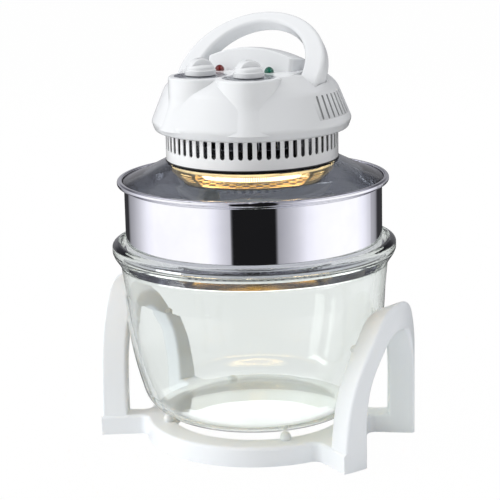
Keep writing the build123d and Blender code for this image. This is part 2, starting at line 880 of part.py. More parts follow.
def make_knob(name, sx):
    x = sx * tower_x
    height = knob_height - knob_lift
    body = turned(
        [
            (0, 0, 0),
            (knob_r, 0, 0.8),
            (knob_r, knob_collar, 1.0),
            (knob_r - 1.2, knob_collar, 0.4),
            (knob_r - 2.0, knob_collar + 4.6, 3.4),
            (0, height - 6.0, 0),
        ]
    )
    grip_r = knob_r - grip_in
    side = [
        ThreePointArc((-grip_r, knob_collar), (0, height), (grip_r, knob_collar)),
        Line((grip_r, knob_collar), (-grip_r, knob_collar)),
    ]
    grip = extrude(Plane.XZ * make_face(side), grip_half, both=True)
    grip = fillet(grip.edges().filter_by(lambda e: e.length > 2 * grip_half + 1), 2.4)
    low = panel_z + knob_lift
    knob = Pos(x, tower_y, low) * Rot(0, 0, grip_turn) * (body + grip)
    shaft_top = knob_collar + 5
    knob -= disc(bush_r + 5.1, low - 1, panel_z + 4.4, x, tower_y)
    knob -= disc(control_shaft_r, low - 1, low + shaft_top, x, tower_y)
    save(name + "_knob", knob)
    shaft_low = panel_z - cover_wall - 14
    save(name + "_shaft", disc(control_shaft_r, shaft_low, low + shaft_top, x, tower_y))


# ---- handle and safety switch ----------------------------------------------------------


def leaned(shape):
    """Stands a shape drawn about the pivot axis at the lean that the handle rests at."""
    return Pos(0, pivot_y, pivot_z) * Rot(-handle_lean, 0, 0) * shape


def bail_outline():
    """Front outline of the handle: x across, z from the pivot along the legs."""
    half_in = handle_half - handle_side
    rise_in = handle_arch - handle_bridge
    middle = (0, handle_spring)
    outer = EllipticalCenterArc(middle, handle_half, handle_arch, 0, arc_size=180)
    inner = EllipticalCenterArc(middle, half_in, rise_in, 0, arc_size=180)
    legs = [
        Polyline(
            (side * handle_half, handle_spring),
            (side * handle_half, -half_thick),
            (side * half_in, -half_thick),
            (side * half_in, handle_spring),
        )
        for side in (1, -1)
    ]
    return make_face([outer, legs[1], inner, legs[0]])


def make_handle():
    band = extrude(Plane.XZ * bail_outline(), half_thick, both=True)
    long_edges = band.edges().filter_by(
        lambda e: abs(abs(e.center().Y) - half_thick) < 0.01 and e.bounding_box().size.Z > 4
    )
    band = fillet(long_edges, handle_round)
    wide = 2 * handle_half + 10
    end = Rot(0, 90, 0) * Cylinder(half_thick, wide)
    band -= block(-wide, wide, -half_thick, half_thick, -2 * half_thick, 0) - end
    band -= Rot(0, 90, 0) * Cylinder(pin_r, wide)
    save("handle", leaned(band))
    pins = []
    for sx in (1, -1):
        reach = pocket_out + pin_end
        start = pin_inner_x if sx == 1 else pocket_in - 6
        pin = Pos((start + reach) / 2, 0, 0) * Rot(0, 90, 0) * Cylinder(pin_r, reach - start)
        pins.append(pin if sx == 1 else mirror(pin, Plane.YZ))
    save("handle_pins", *[leaned(pin) for pin in pins])
    cam = cam_disc() - Rot(0, 90, 0) * Cylinder(pin_r, wide)
    save("switch_cam", Pos(0, pivot_y, pivot_z) * cam)


def cam_centre():
    """Centre of the cam at rest, from the pivot: half the swing before it points forward."""
    half_swing = math.radians(handle_swing / 2)
    return cam_throw * math.cos(half_swing), -cam_throw * math.sin(half_swing)


def cam_disc():
    y, z = cam_centre()
    middle = cam_x + cam_width / 2
    return Pos(middle, y, z) * Rot(0, 90, 0) * Cylinder(cam_r, cam_width)


def make_switch():
    top = pivot_z + cam_centre()[1] - cam_r - rest_gap
    low = top - plunger_length
    middle = cam_x + cam_width / 2
    half = plunger_side / 2
    plunger = block(middle - half, middle + half, pivot_y - half, pivot_y + half, low, top)
    save("switch_plunger", plunger)
    wall_x = pocket_in - pocket_wall
    body_top = top - plunger_travel - 1.5
    y0 = pivot_y - switch_half
    y1 = pivot_y + switch_half
    body = block(middle - 4.5, wall_x, y0, y1, body_top - switch_depth, body_top)
    well = half + plunger_play
    body -= block(
        middle - well, middle + well, pivot_y - well, pivot_y + well, low - 0.5, body_top + 1
    )
    save("safety_switch", body)


# ---- heat shield, pan and lamp ---------------------------------------------------------


def make_shield():
    shield = disc(shield_r, shield_z, shield_top)
    shield -= bore(shaft_r + 3)
    shield -= bore(rod_r + slip_gap, *rod_place)
    for angle in boss_angles:
        shield -= bore(boss_r + slip_gap, *at_angle(boss_pitch, angle))
    for angle in post_angles:
        shield -= bore(screw_r, *at_angle(post_pitch, angle))
    for angle in pan_screw_angles:
        shield -= bore(screw_r, *at_angle(pan_screw_pitch, angle))
    save("heat_shield", shield)
    pad = disc(pan_cup_r - 3, pan_skin, shield_z) - bore(shaft_r + 4)
    pad -= bore(rod_r + slip_gap, *rod_place)
    for angle in pan_screw_angles:
        pad -= bore(spacer_r + 0.4, *at_angle(pan_screw_pitch, angle))
    save("insulation_pad", pad)
    spacers = []
    screws = []
    for angle in pan_screw_angles:
        x, y = at_angle(pan_screw_pitch, angle)
        spacers.append(tube(spacer_r, screw_r, pan_skin, shield_z, x, y))
        head = disc(screw_head_r, pan_top - screw_head, pan_top, x, y)
        nut = disc(screw_head_r, shield_top, shield_top + 1.6, x, y)
        screws.append(head + nut + disc(screw_r, pan_top - 1, shield_top + 1, x, y))
    save("pan_spacers", *spacers)
    save("pan_screws", *screws)
    fixings = []
    for angle in post_angles:
        x, y = at_angle(post_pitch, angle)
        head = disc(screw_head_r, shield_top, shield_top + screw_head, x, y)
        fixings.append(head + disc(screw_r, floor_top + 0.5, shield_top + 1, x, y))
    save("shield_screws", *fixings)
    fixings = []
    for angle in boss_angles:
        x, y = at_angle(boss_pitch, angle)
        seat = gasket_top + screw_head + 0.4
        head = disc(screw_head_r, seat - screw_head, seat, x, y)
        fixings.append(head + disc(screw_r, seat - 1, floor_top + screw_bite, x, y))
    save("cover_screws", *fixings)


def make_pan():
    skin = thin_sheet
    pan = turned(
        [
            (0, pan_top, 0),
            (pan_cup_r - skin, pan_top, 1.2),
            (pan_cup_r - skin, pan_flange_low, 0.4),
            (pan_flange_r, pan_flange_low, 0),
            (pan_flange_r, pan_flange_top, 0),
            (pan_cup_r, pan_flange_top, 0),
            (pan_cup_r, pan_skin, 2.0),
            (0, pan_skin, 0),
        ]
    )
    pan -= bore(shaft_r + 2)
    pan -= bore(rod_r + slip_gap, *rod_place)
    for angle in pan_screw_angles:
        pan -= bore(screw_r, *at_angle(pan_screw_pitch, angle))
    pan -= [rivet_shank(angle) for angle in rivet_angles()]
    save("heater_pan", pan)


def rivet_angles():
    return [lamp_turn + angle for angle in (45, 135, 225, 315)]


def rivet_shank(angle):
    place = at_angle(pan_flange_r - rivet_in, angle)
    return disc(rivet_r, pan_flange_low - 3, pan_flange_top + 0.5, *place)


def make_shroud():
    skin = thin_sheet
    flange_top = pan_flange_low
    lip_r = shroud_low_r - shroud_lip
    shroud = turned(
        [
            (lip_r, shroud_low - skin, 0),
            (shroud_low_r, shroud_low - skin, 0),
            (pan_flange_r, shroud_knee, 3.0),
            (pan_flange_r, flange_top, 1.0),
            (pan_cup_r, flange_top, 0),
            (pan_cup_r, flange_top - skin, 0),
            (pan_flange_r - skin, flange_top - skin, 0),
            (pan_flange_r - skin, shroud_knee + 0.4, 2.4),
            (shroud_low_r - 0.6, shroud_low, 0),
            (lip_r, shroud_low, 0),
        ]
    )
    curl = turned(
        [
            (shroud_low_r - shroud_curl_r, shroud_low - 2 * shroud_curl_r, shroud_curl_r * 0.8),
            (shroud_low_r + shroud_curl_r, shroud_low - 2 * shroud_curl_r, shroud_curl_r * 0.8),
            (shroud_low_r + shroud_curl_r, shroud_low + 0.2, shroud_curl_r * 0.8),
            (shroud_low_r - shroud_curl_r, shroud_low + 0.2, 0.2),
        ]
    )
    shroud += curl
    for front in (-90 + lamp_turn, 90 + lamp_turn):
        shroud -= window_wedge(front)
        for side in (-1, 1):
            middle = front + side * (window_half_angle + shroud_post_angle + shroud_slot_angle / 2)
            shroud -= louvre_rows(middle)
    shroud -= [rivet_shank(angle) for angle in rivet_angles()]
    save("lamp_shroud", shroud)
    rivets = []
    for angle in rivet_angles():
        x, y = at_angle(pan_flange_r - rivet_in, angle)
        low = flange_top - skin
        head = disc(rivet_head_r, low - rivet_head, low, x, y)
        rivets.append(head + disc(rivet_r, low - 0.5, pan_flange_top, x, y))
    save("shroud_rivets", *rivets)


def arc_sector(half_angle, inner, outer, low, high):
    reach = outer * 2
    x, y = at_angle(reach, half_angle)
    wedge = extrude(make_face(Polyline((0, 0), (x, -y), (x, y), close=True)), high - low)
    return (Pos(0, 0, low) * wedge) & tube(outer, inner, low, high)


def window_wedge(middle):
    sector = arc_sector(
        window_half_angle, shroud_low_r - 5, pan_flange_r + 5, shroud_window_low, shroud_window_high
    )
    return Rot(0, 0, middle) * sector


def louvre_rows(middle):
    rows = []
    rise = (shroud_window_high - shroud_knee - 1.0 + 6.0) / shroud_slot_rows
    for row in range(shroud_slot_rows):
        low = shroud_knee - 6.0 + row * rise
        sector = arc_sector(
            shroud_slot_angle / 2, shroud_low_r - 1, pan_flange_r + 5, low, low + rise * 0.45
        )
        rows.append(Rot(0, 0, middle) * sector)
    return rows


def make_guard():
    guard_r = shroud_low_r - shroud_curl_r - rest_gap
    guard = disc(guard_r, shroud_low, shroud_low + thin_sheet)
    keep = guard_r - guard_rim
    hole = extrude(SlotOverall(guard_hole_l, guard_hole_w, rotation=90), 6, both=True)
    rows = int(keep // (guard_step_l / 2))
    columns = int(keep // guard_step_w) + 1
    holes = []
    for row in range(-rows, rows + 1):
        y = row * guard_step_l / 2
        shift = guard_step_w / 2 if row % 2 else 0.0
        for column in range(-columns, columns + 1):
            x = column * guard_step_w + shift
            if math.hypot(abs(x) + guard_hole_w / 2, abs(y) + guard_hole_l / 4) < keep + 3:
                holes.append(Pos(x, y, shroud_low) * hole)
    guard -= holes
    save("lamp_guard", Rot(0, 0, lamp_turn) * guard)


def make_lamp():
    back = lamp_turn
    half = tube_gap_angle
    path = CenterArc((0, 0), tube_ring_r, back + half, 360 - 2 * half)
    ring = sweep(Plane(path @ 0, z_dir=path % 0) * Circle(tube_r), path)
    lamp = Pos(0, 0, tube_z) * ring
    sockets = []
    for side in (-1, 1):
        x, y = at_angle(tube_ring_r, back + side * half)
        end = Rot(0, 0, back + side * half)
        stub = Rot(0, 90, 0) * Cylinder(tube_r, tube_stub)
        lamp += end * Pos(tube_ring_r + tube_stub / 2, 0, tube_z) * stub
        lamp += Pos(x, y, tube_z) * Sphere(tube_r)
        near = tube_ring_r + tube_stub
        top = pan_flange_low - thin_sheet
        wide = socket_half
        socket = block(near, near + socket_base, -wide, wide, tube_z - tube_r - 0.8, top)
        socket += block(near, near + socket_arm, -wide, wide, shroud_knee + 1, top)
        sockets.append(end * socket)
    save("halogen_lamp", lamp)
    save("lamp_sockets", *sockets)


# ---- motor and fans --------------------------------------------------------------------


def make_bracket():
    skin = thick_sheet
    wide = arm_width / 2
    top = bracket_z + skin
    toe_r = bracket_r + bracket_toe
    bracket = disc(bracket_hub_r, bracket_z, top)
    arm = block(bracket_hole_r + 1, bracket_r, -wide, wide, bracket_z, top)
    leg = block(bracket_r - skin, bracket_r, -wide, wide, shield_top, top)
    toe = block(bracket_r - skin, toe_r, -wide, wide, shield_top, shield_top + skin)
    bracket += around(arm + leg + toe, bracket_angles)
    bracket -= bore(bracket_hole_r)
    for x in (-motor_screw_x, motor_screw_x):
        bracket -= bore(screw_r, x)
    save("motor_bracket", bracket)
    screws = []
    for x in (-motor_screw_x, motor_screw_x):
        head = disc(screw_head_r, bracket_z - screw_head, bracket_z, x)
        screws.append(head + disc(screw_r, bracket_z - 1, motor_z + 8, x))
    save("motor_screws", *screws)


def make_motor():
    low = bracket_z + thick_sheet
    core = block(-motor_half_x, motor_half_x, -motor_half_y, motor_half_y, motor_z, motor_top)
    core = fillet(core.edges().filter_by(Axis.Z), 4)
    motor = core + disc(motor_bearing_r, low, motor_top + 3)
    for x in (-motor_screw_x, motor_screw_x):
        motor += disc(screw_r + 2.4, low, motor_z, x)
        motor -= disc(screw_r, low - 1, motor_z + 9, x)
    motor -= bore(shaft_r + run_gap)
    notch_y = motor_half_y - coil_notch
    notch = coil_half + 1
    motor -= block(-notch, notch, notch_y, motor_half_y + 1, motor_z - 1, motor_top + 1)
    save("motor", motor)
    coil_y = motor_half_y + coil_out
    coil = block(-coil_half, coil_half, notch_y, coil_y, motor_z - 2, motor_top + 2)
    save("motor_coil", fillet(coil.edges().filter_by(Axis.X), 3))


def blade_wheel(r, low, blade, blades, hub_r, blade_low_r, lean):
    plate_top = low + thin_sheet
    wheel = disc(r, low, plate_top) + disc(hub_r, low, low + blade)
    fin = block(blade_low_r, r - 1, -0.5, 0.5, low, low + blade)
    fin = Pos(blade_low_r, 0, 0) * Rot(0, 0, lean) * Pos(-blade_low_r, 0, 0) * fin
    wheel += around(fin, [360 / blades * index for index in range(blades)])
    keep = disc(r, low - 1, low + blade + 1)
    return (wheel & keep) - disc(shaft_r, low - 1, low + blade + 1)


def make_fans():
    save("hot_air_fan", blade_wheel(hot_fan_r, hot_fan_z, hot_fan_blade, 12, 7, 18, 20))
    save("cooling_fan", blade_wheel(cool_fan_r, cool_fan_z, cool_fan_blade, 16, 9, 28, 25))
    shaft = disc(shaft_r, shaft_low, shaft_high)
    save("fan_shaft", fillet(shaft.edges(), 0.5))
    nut = extrude(RegularPolygon(2 * shaft_r, 6), fan_nut_height)
    save("fan_nut", Pos(0, 0, hot_fan_z - fan_nut_height) * nut - bore(shaft_r))


def make_inlet():
    lean = (shoulder_r - slope_r) / (slope_z - shoulder_z)
    slope_y = slope_r + (slope_z - gland_z) * lean
    body = Rot(90, 0, 0) * Cylinder(gland_r, gland_length)
    collar = Rot(90, 0, 0) * Cylinder(gland_collar_r, gland_collar)
    cord_bore = Rot(90, 0, 0) * Cylinder(cord_bore_r, 4 * gland_length)
    body = Pos(0, slope_y - gland_collar, gland_z) * body
    collar_y = slope_y - cover_wall - gland_length / 2
    piece = body + Pos(0, collar_y, gland_z) * collar
    save("cord_gland", piece - Pos(0, slope_y, gland_z) * cord_bore)
    low = shield_top
    half = terminal_half_width
    y0 = terminal_y - half
    y1 = terminal_y + half
    rail = block(-terminal_half, terminal_half, y0, y1, low, low + terminal_height)
    half_rise = terminal_height / 2
    for step in (-1.5, -0.5, 0.5, 1.5):
        x = step * terminal_pitch
        rail -= disc(terminal_bore_r, low + half_rise, low + terminal_height + 1, x, terminal_y)
    save("terminal_block", rail)


make_stand()
make_pads()
make_bowl()
make_extender()
make_lid()
make_vent_ring()
make_cover()
make_panel()
make_timer()
make_thermostat()
make_nuts()
make_knob("timer", -1)
make_knob("thermostat", 1)
make_handle()
make_switch()
make_shield()
make_pan()
make_shroud()
make_guard()
make_lamp()
make_bracket()
make_motor()
make_fans()
make_inlet()

os.makedirs("parts", exist_ok=True)
for name, shape in nodes.items():
    export_step(shape, f"parts/{name}.step")
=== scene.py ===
import json
import math
import bpy
from mathutils import Matrix, Vector


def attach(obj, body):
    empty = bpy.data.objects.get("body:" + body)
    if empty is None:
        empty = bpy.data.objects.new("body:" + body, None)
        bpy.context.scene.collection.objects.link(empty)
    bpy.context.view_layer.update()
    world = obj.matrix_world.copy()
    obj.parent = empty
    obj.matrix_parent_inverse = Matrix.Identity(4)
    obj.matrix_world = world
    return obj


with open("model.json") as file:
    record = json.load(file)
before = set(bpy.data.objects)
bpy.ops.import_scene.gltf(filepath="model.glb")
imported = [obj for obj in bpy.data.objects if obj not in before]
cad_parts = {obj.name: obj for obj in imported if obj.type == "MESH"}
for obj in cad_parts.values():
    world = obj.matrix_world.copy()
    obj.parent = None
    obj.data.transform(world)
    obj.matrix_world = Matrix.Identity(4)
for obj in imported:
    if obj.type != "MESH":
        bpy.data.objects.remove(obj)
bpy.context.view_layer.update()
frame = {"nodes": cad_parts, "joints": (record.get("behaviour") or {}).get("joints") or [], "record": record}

# the camera looks slightly down from the front right
cameraPlan = {
    "place": (0.9223, -1.6987, 0.6687),
    "azimuth": 28.65,      # degrees round from the front
    "down": 13.11,         # degrees that it looks below level
    "roll": -1.27,
    "lens": 123.8,         # mm
    "sensor": 36.0,
    "farEnd": 40.0,
}


def makeCamera(plan):
    data = bpy.data.cameras.new("studioCamera")
    data.lens = plan["lens"]
    data.sensor_width = plan["sensor"]
    data.clip_end = plan["farEnd"]
    camera = bpy.data.objects.new("studioCamera", data)
    bpy.context.scene.collection.objects.link(camera)
    turn = Matrix.Rotation(math.radians(plan["azimuth"]), 4, "Z")
    tilt = Matrix.Rotation(math.radians(90.0 - plan["down"]), 4, "X")
    roll = Matrix.Rotation(math.radians(plan["roll"]), 4, "Z")
    camera.matrix_world = Matrix.Translation(plan["place"]) @ turn @ tilt @ roll
    bpy.context.scene.camera = camera
    print("camera placed")


makeCamera(cameraPlan)


def linear(hexColour):
    # a screen colour turned to the linear values that shaders take
    channels = []
    for start in (1, 3, 5):
        value = int(hexColour[start:start + 2], 16) / 255.0
        channels.append(value / 12.92 if value <= 0.04045 else ((value + 0.055) / 1.055) ** 2.4)
    return (*channels, 1.0)


# where most of a noise texture's values lie, and a narrower part that gives harder edges
noiseRange = {"From Min": 0.3, "From Max": 0.7}
blotchRange = {"From Min": 0.35, "From Max": 0.65}

# how far gloss and light vary over a piece, as shares of the value that its plan gives
mouldedSpread = (0.85, 1.2)
metalSpread = (0.75, 1.3)
glassSpread = (0.6, 1.4)
glowSpread = (0.75, 1.2)


def perMm(size):
    # a noise scale that gives cells of this many millimetres
    return 1000.0 / size


def addNode(tree, kind, settings=None, inputs=None):
    made = tree.nodes.new(kind)
    for key, value in (settings or {}).items():
        setattr(made, key, value)
    for key, value in (inputs or {}).items():
        if isinstance(value, bpy.types.NodeSocket):
            tree.links.new(value, made.inputs[key])
        else:
            made.inputs[key].default_value = value
    return made


def startMaterial(name):
    made = bpy.data.materials.new(name)
    made.use_nodes = True
    made.node_tree.nodes.clear()
    return made, made.node_tree


def endMaterial(made, shader, volume=None):
    links = {"Surface": shader}
    if volume:
        links["Volume"] = volume
    addNode(made.node_tree, "ShaderNodeOutputMaterial", {}, links)
    return made


def mouldedFinish(plan):
    # injection moulding: slow drifts in tone and gloss, and the fine texture of the tool's face
    made, tree = startMaterial(plan["name"])
    place = addNode(tree, "ShaderNodeTexCoord").outputs["Object"]
    drift = addNode(tree, "ShaderNodeTexNoise", {}, {
        "Vector": place, "Scale": perMm(plan["driftMm"]), "Detail": 2.0})
    tone = addNode(tree, "ShaderNodeMix", {"data_type": "RGBA"}, {
        0: drift.outputs["Fac"], 6: linear(plan["colour"]), 7: linear(plan["shade"])})
    gloss = addNode(tree, "ShaderNodeMapRange", {}, {
        **noiseRange, "Value": drift.outputs["Fac"],
        "To Min": plan["roughness"] * mouldedSpread[0],
        "To Max": plan["roughness"] * mouldedSpread[1]})
    grain = addNode(tree, "ShaderNodeTexNoise", {}, {
        "Vector": place, "Scale": perMm(plan["grainMm"]), "Detail": 4.0, "Roughness": 0.6})
    face = addNode(tree, "ShaderNodeBump", {}, {
        "Strength": plan["bump"], "Distance": plan["grainHeightMm"] / 1000.0,
        "Height": grain.outputs["Fac"]})
    values = {"Base Color": tone.outputs[2], "Roughness": gloss.outputs["Result"],
              "Normal": face.outputs["Normal"], "IOR": plan["ior"]}
    values.update(plan.get("extra", {}))
    shader = addNode(tree, "ShaderNodeBsdfPrincipled", {}, values)
    return endMaterial(made, shader.outputs["BSDF"])


def metalFinish(plan):
    # sheet and bar metal: rolling or turning marks stretched along one way, and stains from heat
    made, tree = startMaterial(plan["name"])
    place = addNode(tree, "ShaderNodeTexCoord").outputs["Object"]
    along = addNode(tree, "ShaderNodeMapping", {}, {
        "Vector": place, "Scale": plan["stretch"]})
    marks = addNode(tree, "ShaderNodeTexNoise", {}, {
        "Vector": along.outputs["Vector"], "Scale": perMm(plan["markMm"]), "Detail": 5.0})
    stain = addNode(tree, "ShaderNodeTexNoise", {}, {
        "Vector": place, "Scale": perMm(plan["stainMm"]), "Detail": 3.0})
    reach = addNode(tree, "ShaderNodeMapRange", {}, {
        **blotchRange, "Value": stain.outputs["Fac"], "To Max": plan["stainMost"]})
    tone = addNode(tree, "ShaderNodeMix", {"data_type": "RGBA"}, {
        0: reach.outputs["Result"], 6: linear(plan["colour"]), 7: linear(plan["stain"])})
    gloss = addNode(tree, "ShaderNodeMapRange", {}, {
        **noiseRange, "Value": marks.outputs["Fac"],
        "To Min": plan["roughness"] * metalSpread[0],
        "To Max": plan["roughness"] * metalSpread[1]})
    face = addNode(tree, "ShaderNodeBump", {}, {
        "Strength": plan["bump"], "Distance": plan["markHeightMm"] / 1000.0,
        "Height": marks.outputs["Fac"]})
    values = {"Base Color": tone.outputs[2], "Roughness": gloss.outputs["Result"],
              "Normal": face.outputs["Normal"], "Metallic": 1.0}
    values.update(plan.get("extra", {}))
    shader = addNode(tree, "ShaderNodeBsdfPrincipled", {}, values)
    return endMaterial(made, shader.outputs["BSDF"])


def glassFinish(plan):
    # pressed glass: clear all through, with the slow waves that the mould leaves in its faces
    made, tree = startMaterial(plan["name"])
    place = addNode(tree, "ShaderNodeTexCoord").outputs["Object"]
    waves = addNode(tree, "ShaderNodeTexNoise", {}, {
        "Vector": place, "Scale": perMm(plan["waveMm"]), "Detail": 1.0})
    face = addNode(tree, "ShaderNodeBump", {}, {
        "Strength": plan["bump"], "Distance": plan["waveHeightMm"] / 1000.0,
        "Height": waves.outputs["Fac"]})
    haze = addNode(tree, "ShaderNodeMapRange", {}, {
        **noiseRange, "Value": waves.outputs["Fac"],
        "To Min": plan["roughness"] * glassSpread[0],
        "To Max": plan["roughness"] * glassSpread[1]})
    values = {"Base Color": linear(plan["colour"]), "Roughness": haze.outputs["Result"],
              "IOR": plan["ior"], "Transmission Weight": 1.0,
              "Normal": face.outputs["Normal"]}
    values.update(plan.get("extra", {}))
    shader = addNode(tree, "ShaderNodeBsdfPrincipled", {}, values)
    depth = addNode(tree, "ShaderNodeVolumeAbsorption", {}, {
        "Color": linear(plan["depthColour"]), "Density": plan["density"]})
    # lamps shine through it, so what stands inside and behind isn't in a glass shadow
    path = addNode(tree, "ShaderNodeLightPath")
    clear = addNode(tree, "ShaderNodeBsdfTransparent", {}, {"Color": linear(plan["shadow"])})
    both = addNode(tree, "ShaderNodeMixShader", {}, {
        "Fac": path.outputs["Is Shadow Ray"], 1: shader.outputs["BSDF"], 2: clear.outputs[0]})
    return endMaterial(made, both.outputs[0], depth.outputs["Volume"])


# ABS for the head, knobs and handle: glossy and cool white, with no grain to see
glossAbs = mouldedFinish({
    "name": "glossAbs", "colour": "#e7e9eb", "shade": "#e3e5e7", "roughness": 0.2,
    "driftMm": 45.0, "grainMm": 1.6, "grainHeightMm": 0.02, "bump": 0.12, "ior": 1.53,
    "extra": {"Coat Weight": 0.15, "Coat Roughness": 0.06}})

# polypropylene for the stand: satin, from a finely spark-eroded tool
mouldedPolypropylene = mouldedFinish({
    "name": "mouldedPolypropylene", "colour": "#f5f9fd", "shade": "#f1f5f9",
    "roughness": 0.34, "driftMm": 90.0, "grainMm": 1.1, "grainHeightMm": 0.03,
    "bump": 0.2, "ior": 1.49, "extra": {}})

# silicone for pads and feet: soft and milky, so light goes a little way in
translucentSilicone = mouldedFinish({
    "name": "translucentSilicone", "colour": "#f8fafa", "shade": "#f1f4f3",
    "roughness": 0.38, "driftMm": 8.0, "grainMm": 0.8, "grainHeightMm": 0.02,
    "bump": 0.3, "ior": 1.41,
    "extra": {"Transmission Weight": 0.05, "Subsurface Weight": 0.3,
              "Subsurface Radius": (0.004, 0.004, 0.004)}})

# black silicone for the gaskets: matt, a little dusty
blackSilicone = mouldedFinish({
    "name": "blackSilicone", "colour": "#1c1d1e", "shade": "#26282a", "roughness": 0.55,
    "driftMm": 12.0, "grainMm": 0.7, "grainHeightMm": 0.04, "bump": 0.4, "ior": 1.41})

# polycarbonate lenses: clear tinted plastic over a pilot lamp
redPolycarbonate = mouldedFinish({
    "name": "redPolycarbonate", "colour": "#8c1f12", "shade": "#7a160c",
    "roughness": 0.12, "driftMm": 5.0, "grainMm": 1.2, "grainHeightMm": 0.02,
    "bump": 0.15, "ior": 1.58,
    "extra": {"Transmission Weight": 0.45, "Coat Weight": 0.4, "Coat Roughness": 0.04}})
greenPolycarbonate = mouldedFinish({
    "name": "greenPolycarbonate", "colour": "#0d7a60", "shade": "#0a6852",
    "roughness": 0.12, "driftMm": 5.0, "grainMm": 1.2, "grainHeightMm": 0.02,
    "bump": 0.15, "ior": 1.58,
    "extra": {"Transmission Weight": 0.45, "Coat Weight": 0.4, "Coat Roughness": 0.04}})

# nylon: black glass-filled for terminals and timer, natural for cam and plunger
blackNylon = mouldedFinish({
    "name": "blackNylon", "colour": "#141516", "shade": "#1b1c1e", "roughness": 0.42,
    "driftMm": 10.0, "grainMm": 0.6, "grainHeightMm": 0.05, "bump": 0.35, "ior": 1.53})
naturalNylon = mouldedFinish({
    "name": "naturalNylon", "colour": "#e6e1d1", "shade": "#ddd6c2", "roughness": 0.36,
    "driftMm": 6.0, "grainMm": 0.8, "grainHeightMm": 0.03, "bump": 0.25, "ior": 1.53,
    "extra": {"Subsurface Weight": 0.2, "Subsurface Radius": (0.003, 0.003, 0.002)}})

# steatite lamp holders: fired, unglazed and slightly warm
firedSteatite = mouldedFinish({
    "name": "firedSteatite", "colour": "#e2dccd", "shade": "#cfc6b2", "roughness": 0.62,
    "driftMm": 7.0, "grainMm": 0.5, "grainHeightMm": 0.08, "bump": 0.5, "ior": 1.6})

# ceramic fibre felt over the pan: matt, matted fibres
fibreFelt = mouldedFinish({
    "name": "fibreFelt", "colour": "#e9e4d8", "shade": "#c9c1b0", "roughness": 0.92,
    "driftMm": 4.0, "grainMm": 0.9, "grainHeightMm": 0.5, "bump": 0.9, "ior": 1.5,
    "extra": {"Sheen Weight": 0.4}})

# the same felt as the lamp's gasket, with a painted glow for the lamp's light coming through it from the
# lamp's side
litFelt = mouldedFinish({
    "name": "litFelt", "colour": "#e9dcc0", "shade": "#d2b98a", "roughness": 0.9,
    "driftMm": 4.0, "grainMm": 0.9, "grainHeightMm": 0.4, "bump": 0.8, "ior": 1.5,
    "extra": {"Emission Color": linear("#ffd68c"), "Emission Strength": 4.0}})

# stainless extender ring: mirror polished, with only slow waves left in the sheet
mirrorStainless = metalFinish({
    "name": "mirrorStainless", "colour": "#e6e6e9", "stain": "#dcdce2", "stainMost": 0.5,
    "roughness": 0.035, "stretch": (1.0, 1.0, 3.0), "markMm": 30.0, "markHeightMm": 0.05,
    "stainMm": 40.0, "bump": 0.05})

# dial plates: aluminium, satin brushed across and clear lacquered
satinAluminium = metalFinish({
    "name": "satinAluminium", "colour": "#c3c6ca", "stain": "#b4b7bc", "stainMost": 0.6,
    "roughness": 0.36, "stretch": (0.06, 1.0, 1.0), "markMm": 0.8, "markHeightMm": 0.03,
    "stainMm": 14.0, "bump": 0.3, "extra": {"Coat Weight": 0.25, "Coat Roughness": 0.1}})

# fan and motor parts
pressedAluminium = metalFinish({
    "name": "pressedAluminium", "colour": "#c9ccd0", "stain": "#a9adb3", "stainMost": 0.8,
    "roughness": 0.34, "stretch": (0.2, 1.0, 1.0), "markMm": 1.2, "markHeightMm": 0.04,
    "stainMm": 18.0, "bump": 0.25})
zincPlatedSteel = metalFinish({
    "name": "zincPlatedSteel", "colour": "#b4b7bb", "stain": "#8f9296", "stainMost": 0.8,
    "roughness": 0.3, "stretch": (1.0, 1.0, 1.0), "markMm": 2.2, "markHeightMm": 0.03,
    "stainMm": 9.0, "bump": 0.2})
laminatedSteel = metalFinish({
    "name": "laminatedSteel", "colour": "#6a6d72", "stain": "#4c4d50", "stainMost": 0.9,
    "roughness": 0.42, "stretch": (0.02, 0.02, 1.0), "markMm": 0.9, "markHeightMm": 0.15,
    "stainMm": 12.0, "bump": 0.7})
enamelledCopper = metalFinish({
    "name": "enamelledCopper", "colour": "#b5683a", "stain": "#8e4b25", "stainMost": 0.8,
    "roughness": 0.28, "stretch": (1.0, 1.0, 0.05), "markMm": 0.8, "markHeightMm": 0.25,
    "stainMm": 6.0, "bump": 0.8, "extra": {"Coat Weight": 0.6, "Coat Roughness": 0.12}})

# bowl: borosilicate, pressed, with a faint grey green where it is thick
pressedBorosilicate = glassFinish({
    "name": "pressedBorosilicate", "colour": "#f8faf9", "shadow": "#eef2f0",
    "roughness": 0.004, "ior": 1.473,
    "waveMm": 55.0, "waveHeightMm": 0.25, "bump": 0.25,
    "depthColour": "#8fa68c", "density": 9.0})

# lid: tempered soda-lime glass, smoked in the mass
smokedTemperedGlass = glassFinish({
    "name": "smokedTemperedGlass", "colour": "#8e9196", "shadow": "#84888d",
    "roughness": 0.006, "ior": 1.52,
    "waveMm": 60.0, "waveHeightMm": 0.15, "bump": 0.2,
    "depthColour": "#6c7480", "density": 40.0})

# lamp: fused quartz tube, clear, a little warm from the light in it
fusedQuartz = glassFinish({
    "name": "fusedQuartz", "colour": "#fffaf0", "shadow": "#fffaf0",
    "roughness": 0.01, "ior": 1.458,
    "waveMm": 12.0, "waveHeightMm": 0.05, "bump": 0.2,
    "depthColour": "#fff2d8", "density": 3.0})


# shared by the steel round the lamp; a strip above 1 m is above the whole oven, so none shows
lampSteel = {
    "edge": 0.0004, "outwardFacing": 0.1, "inwardFacing": -0.3, "bare": "#dcdcde",
    "bump": 0.3, "markHeightMm": 0.04, "coolBelow": 0.29, "stripAbove": 1.0,
}


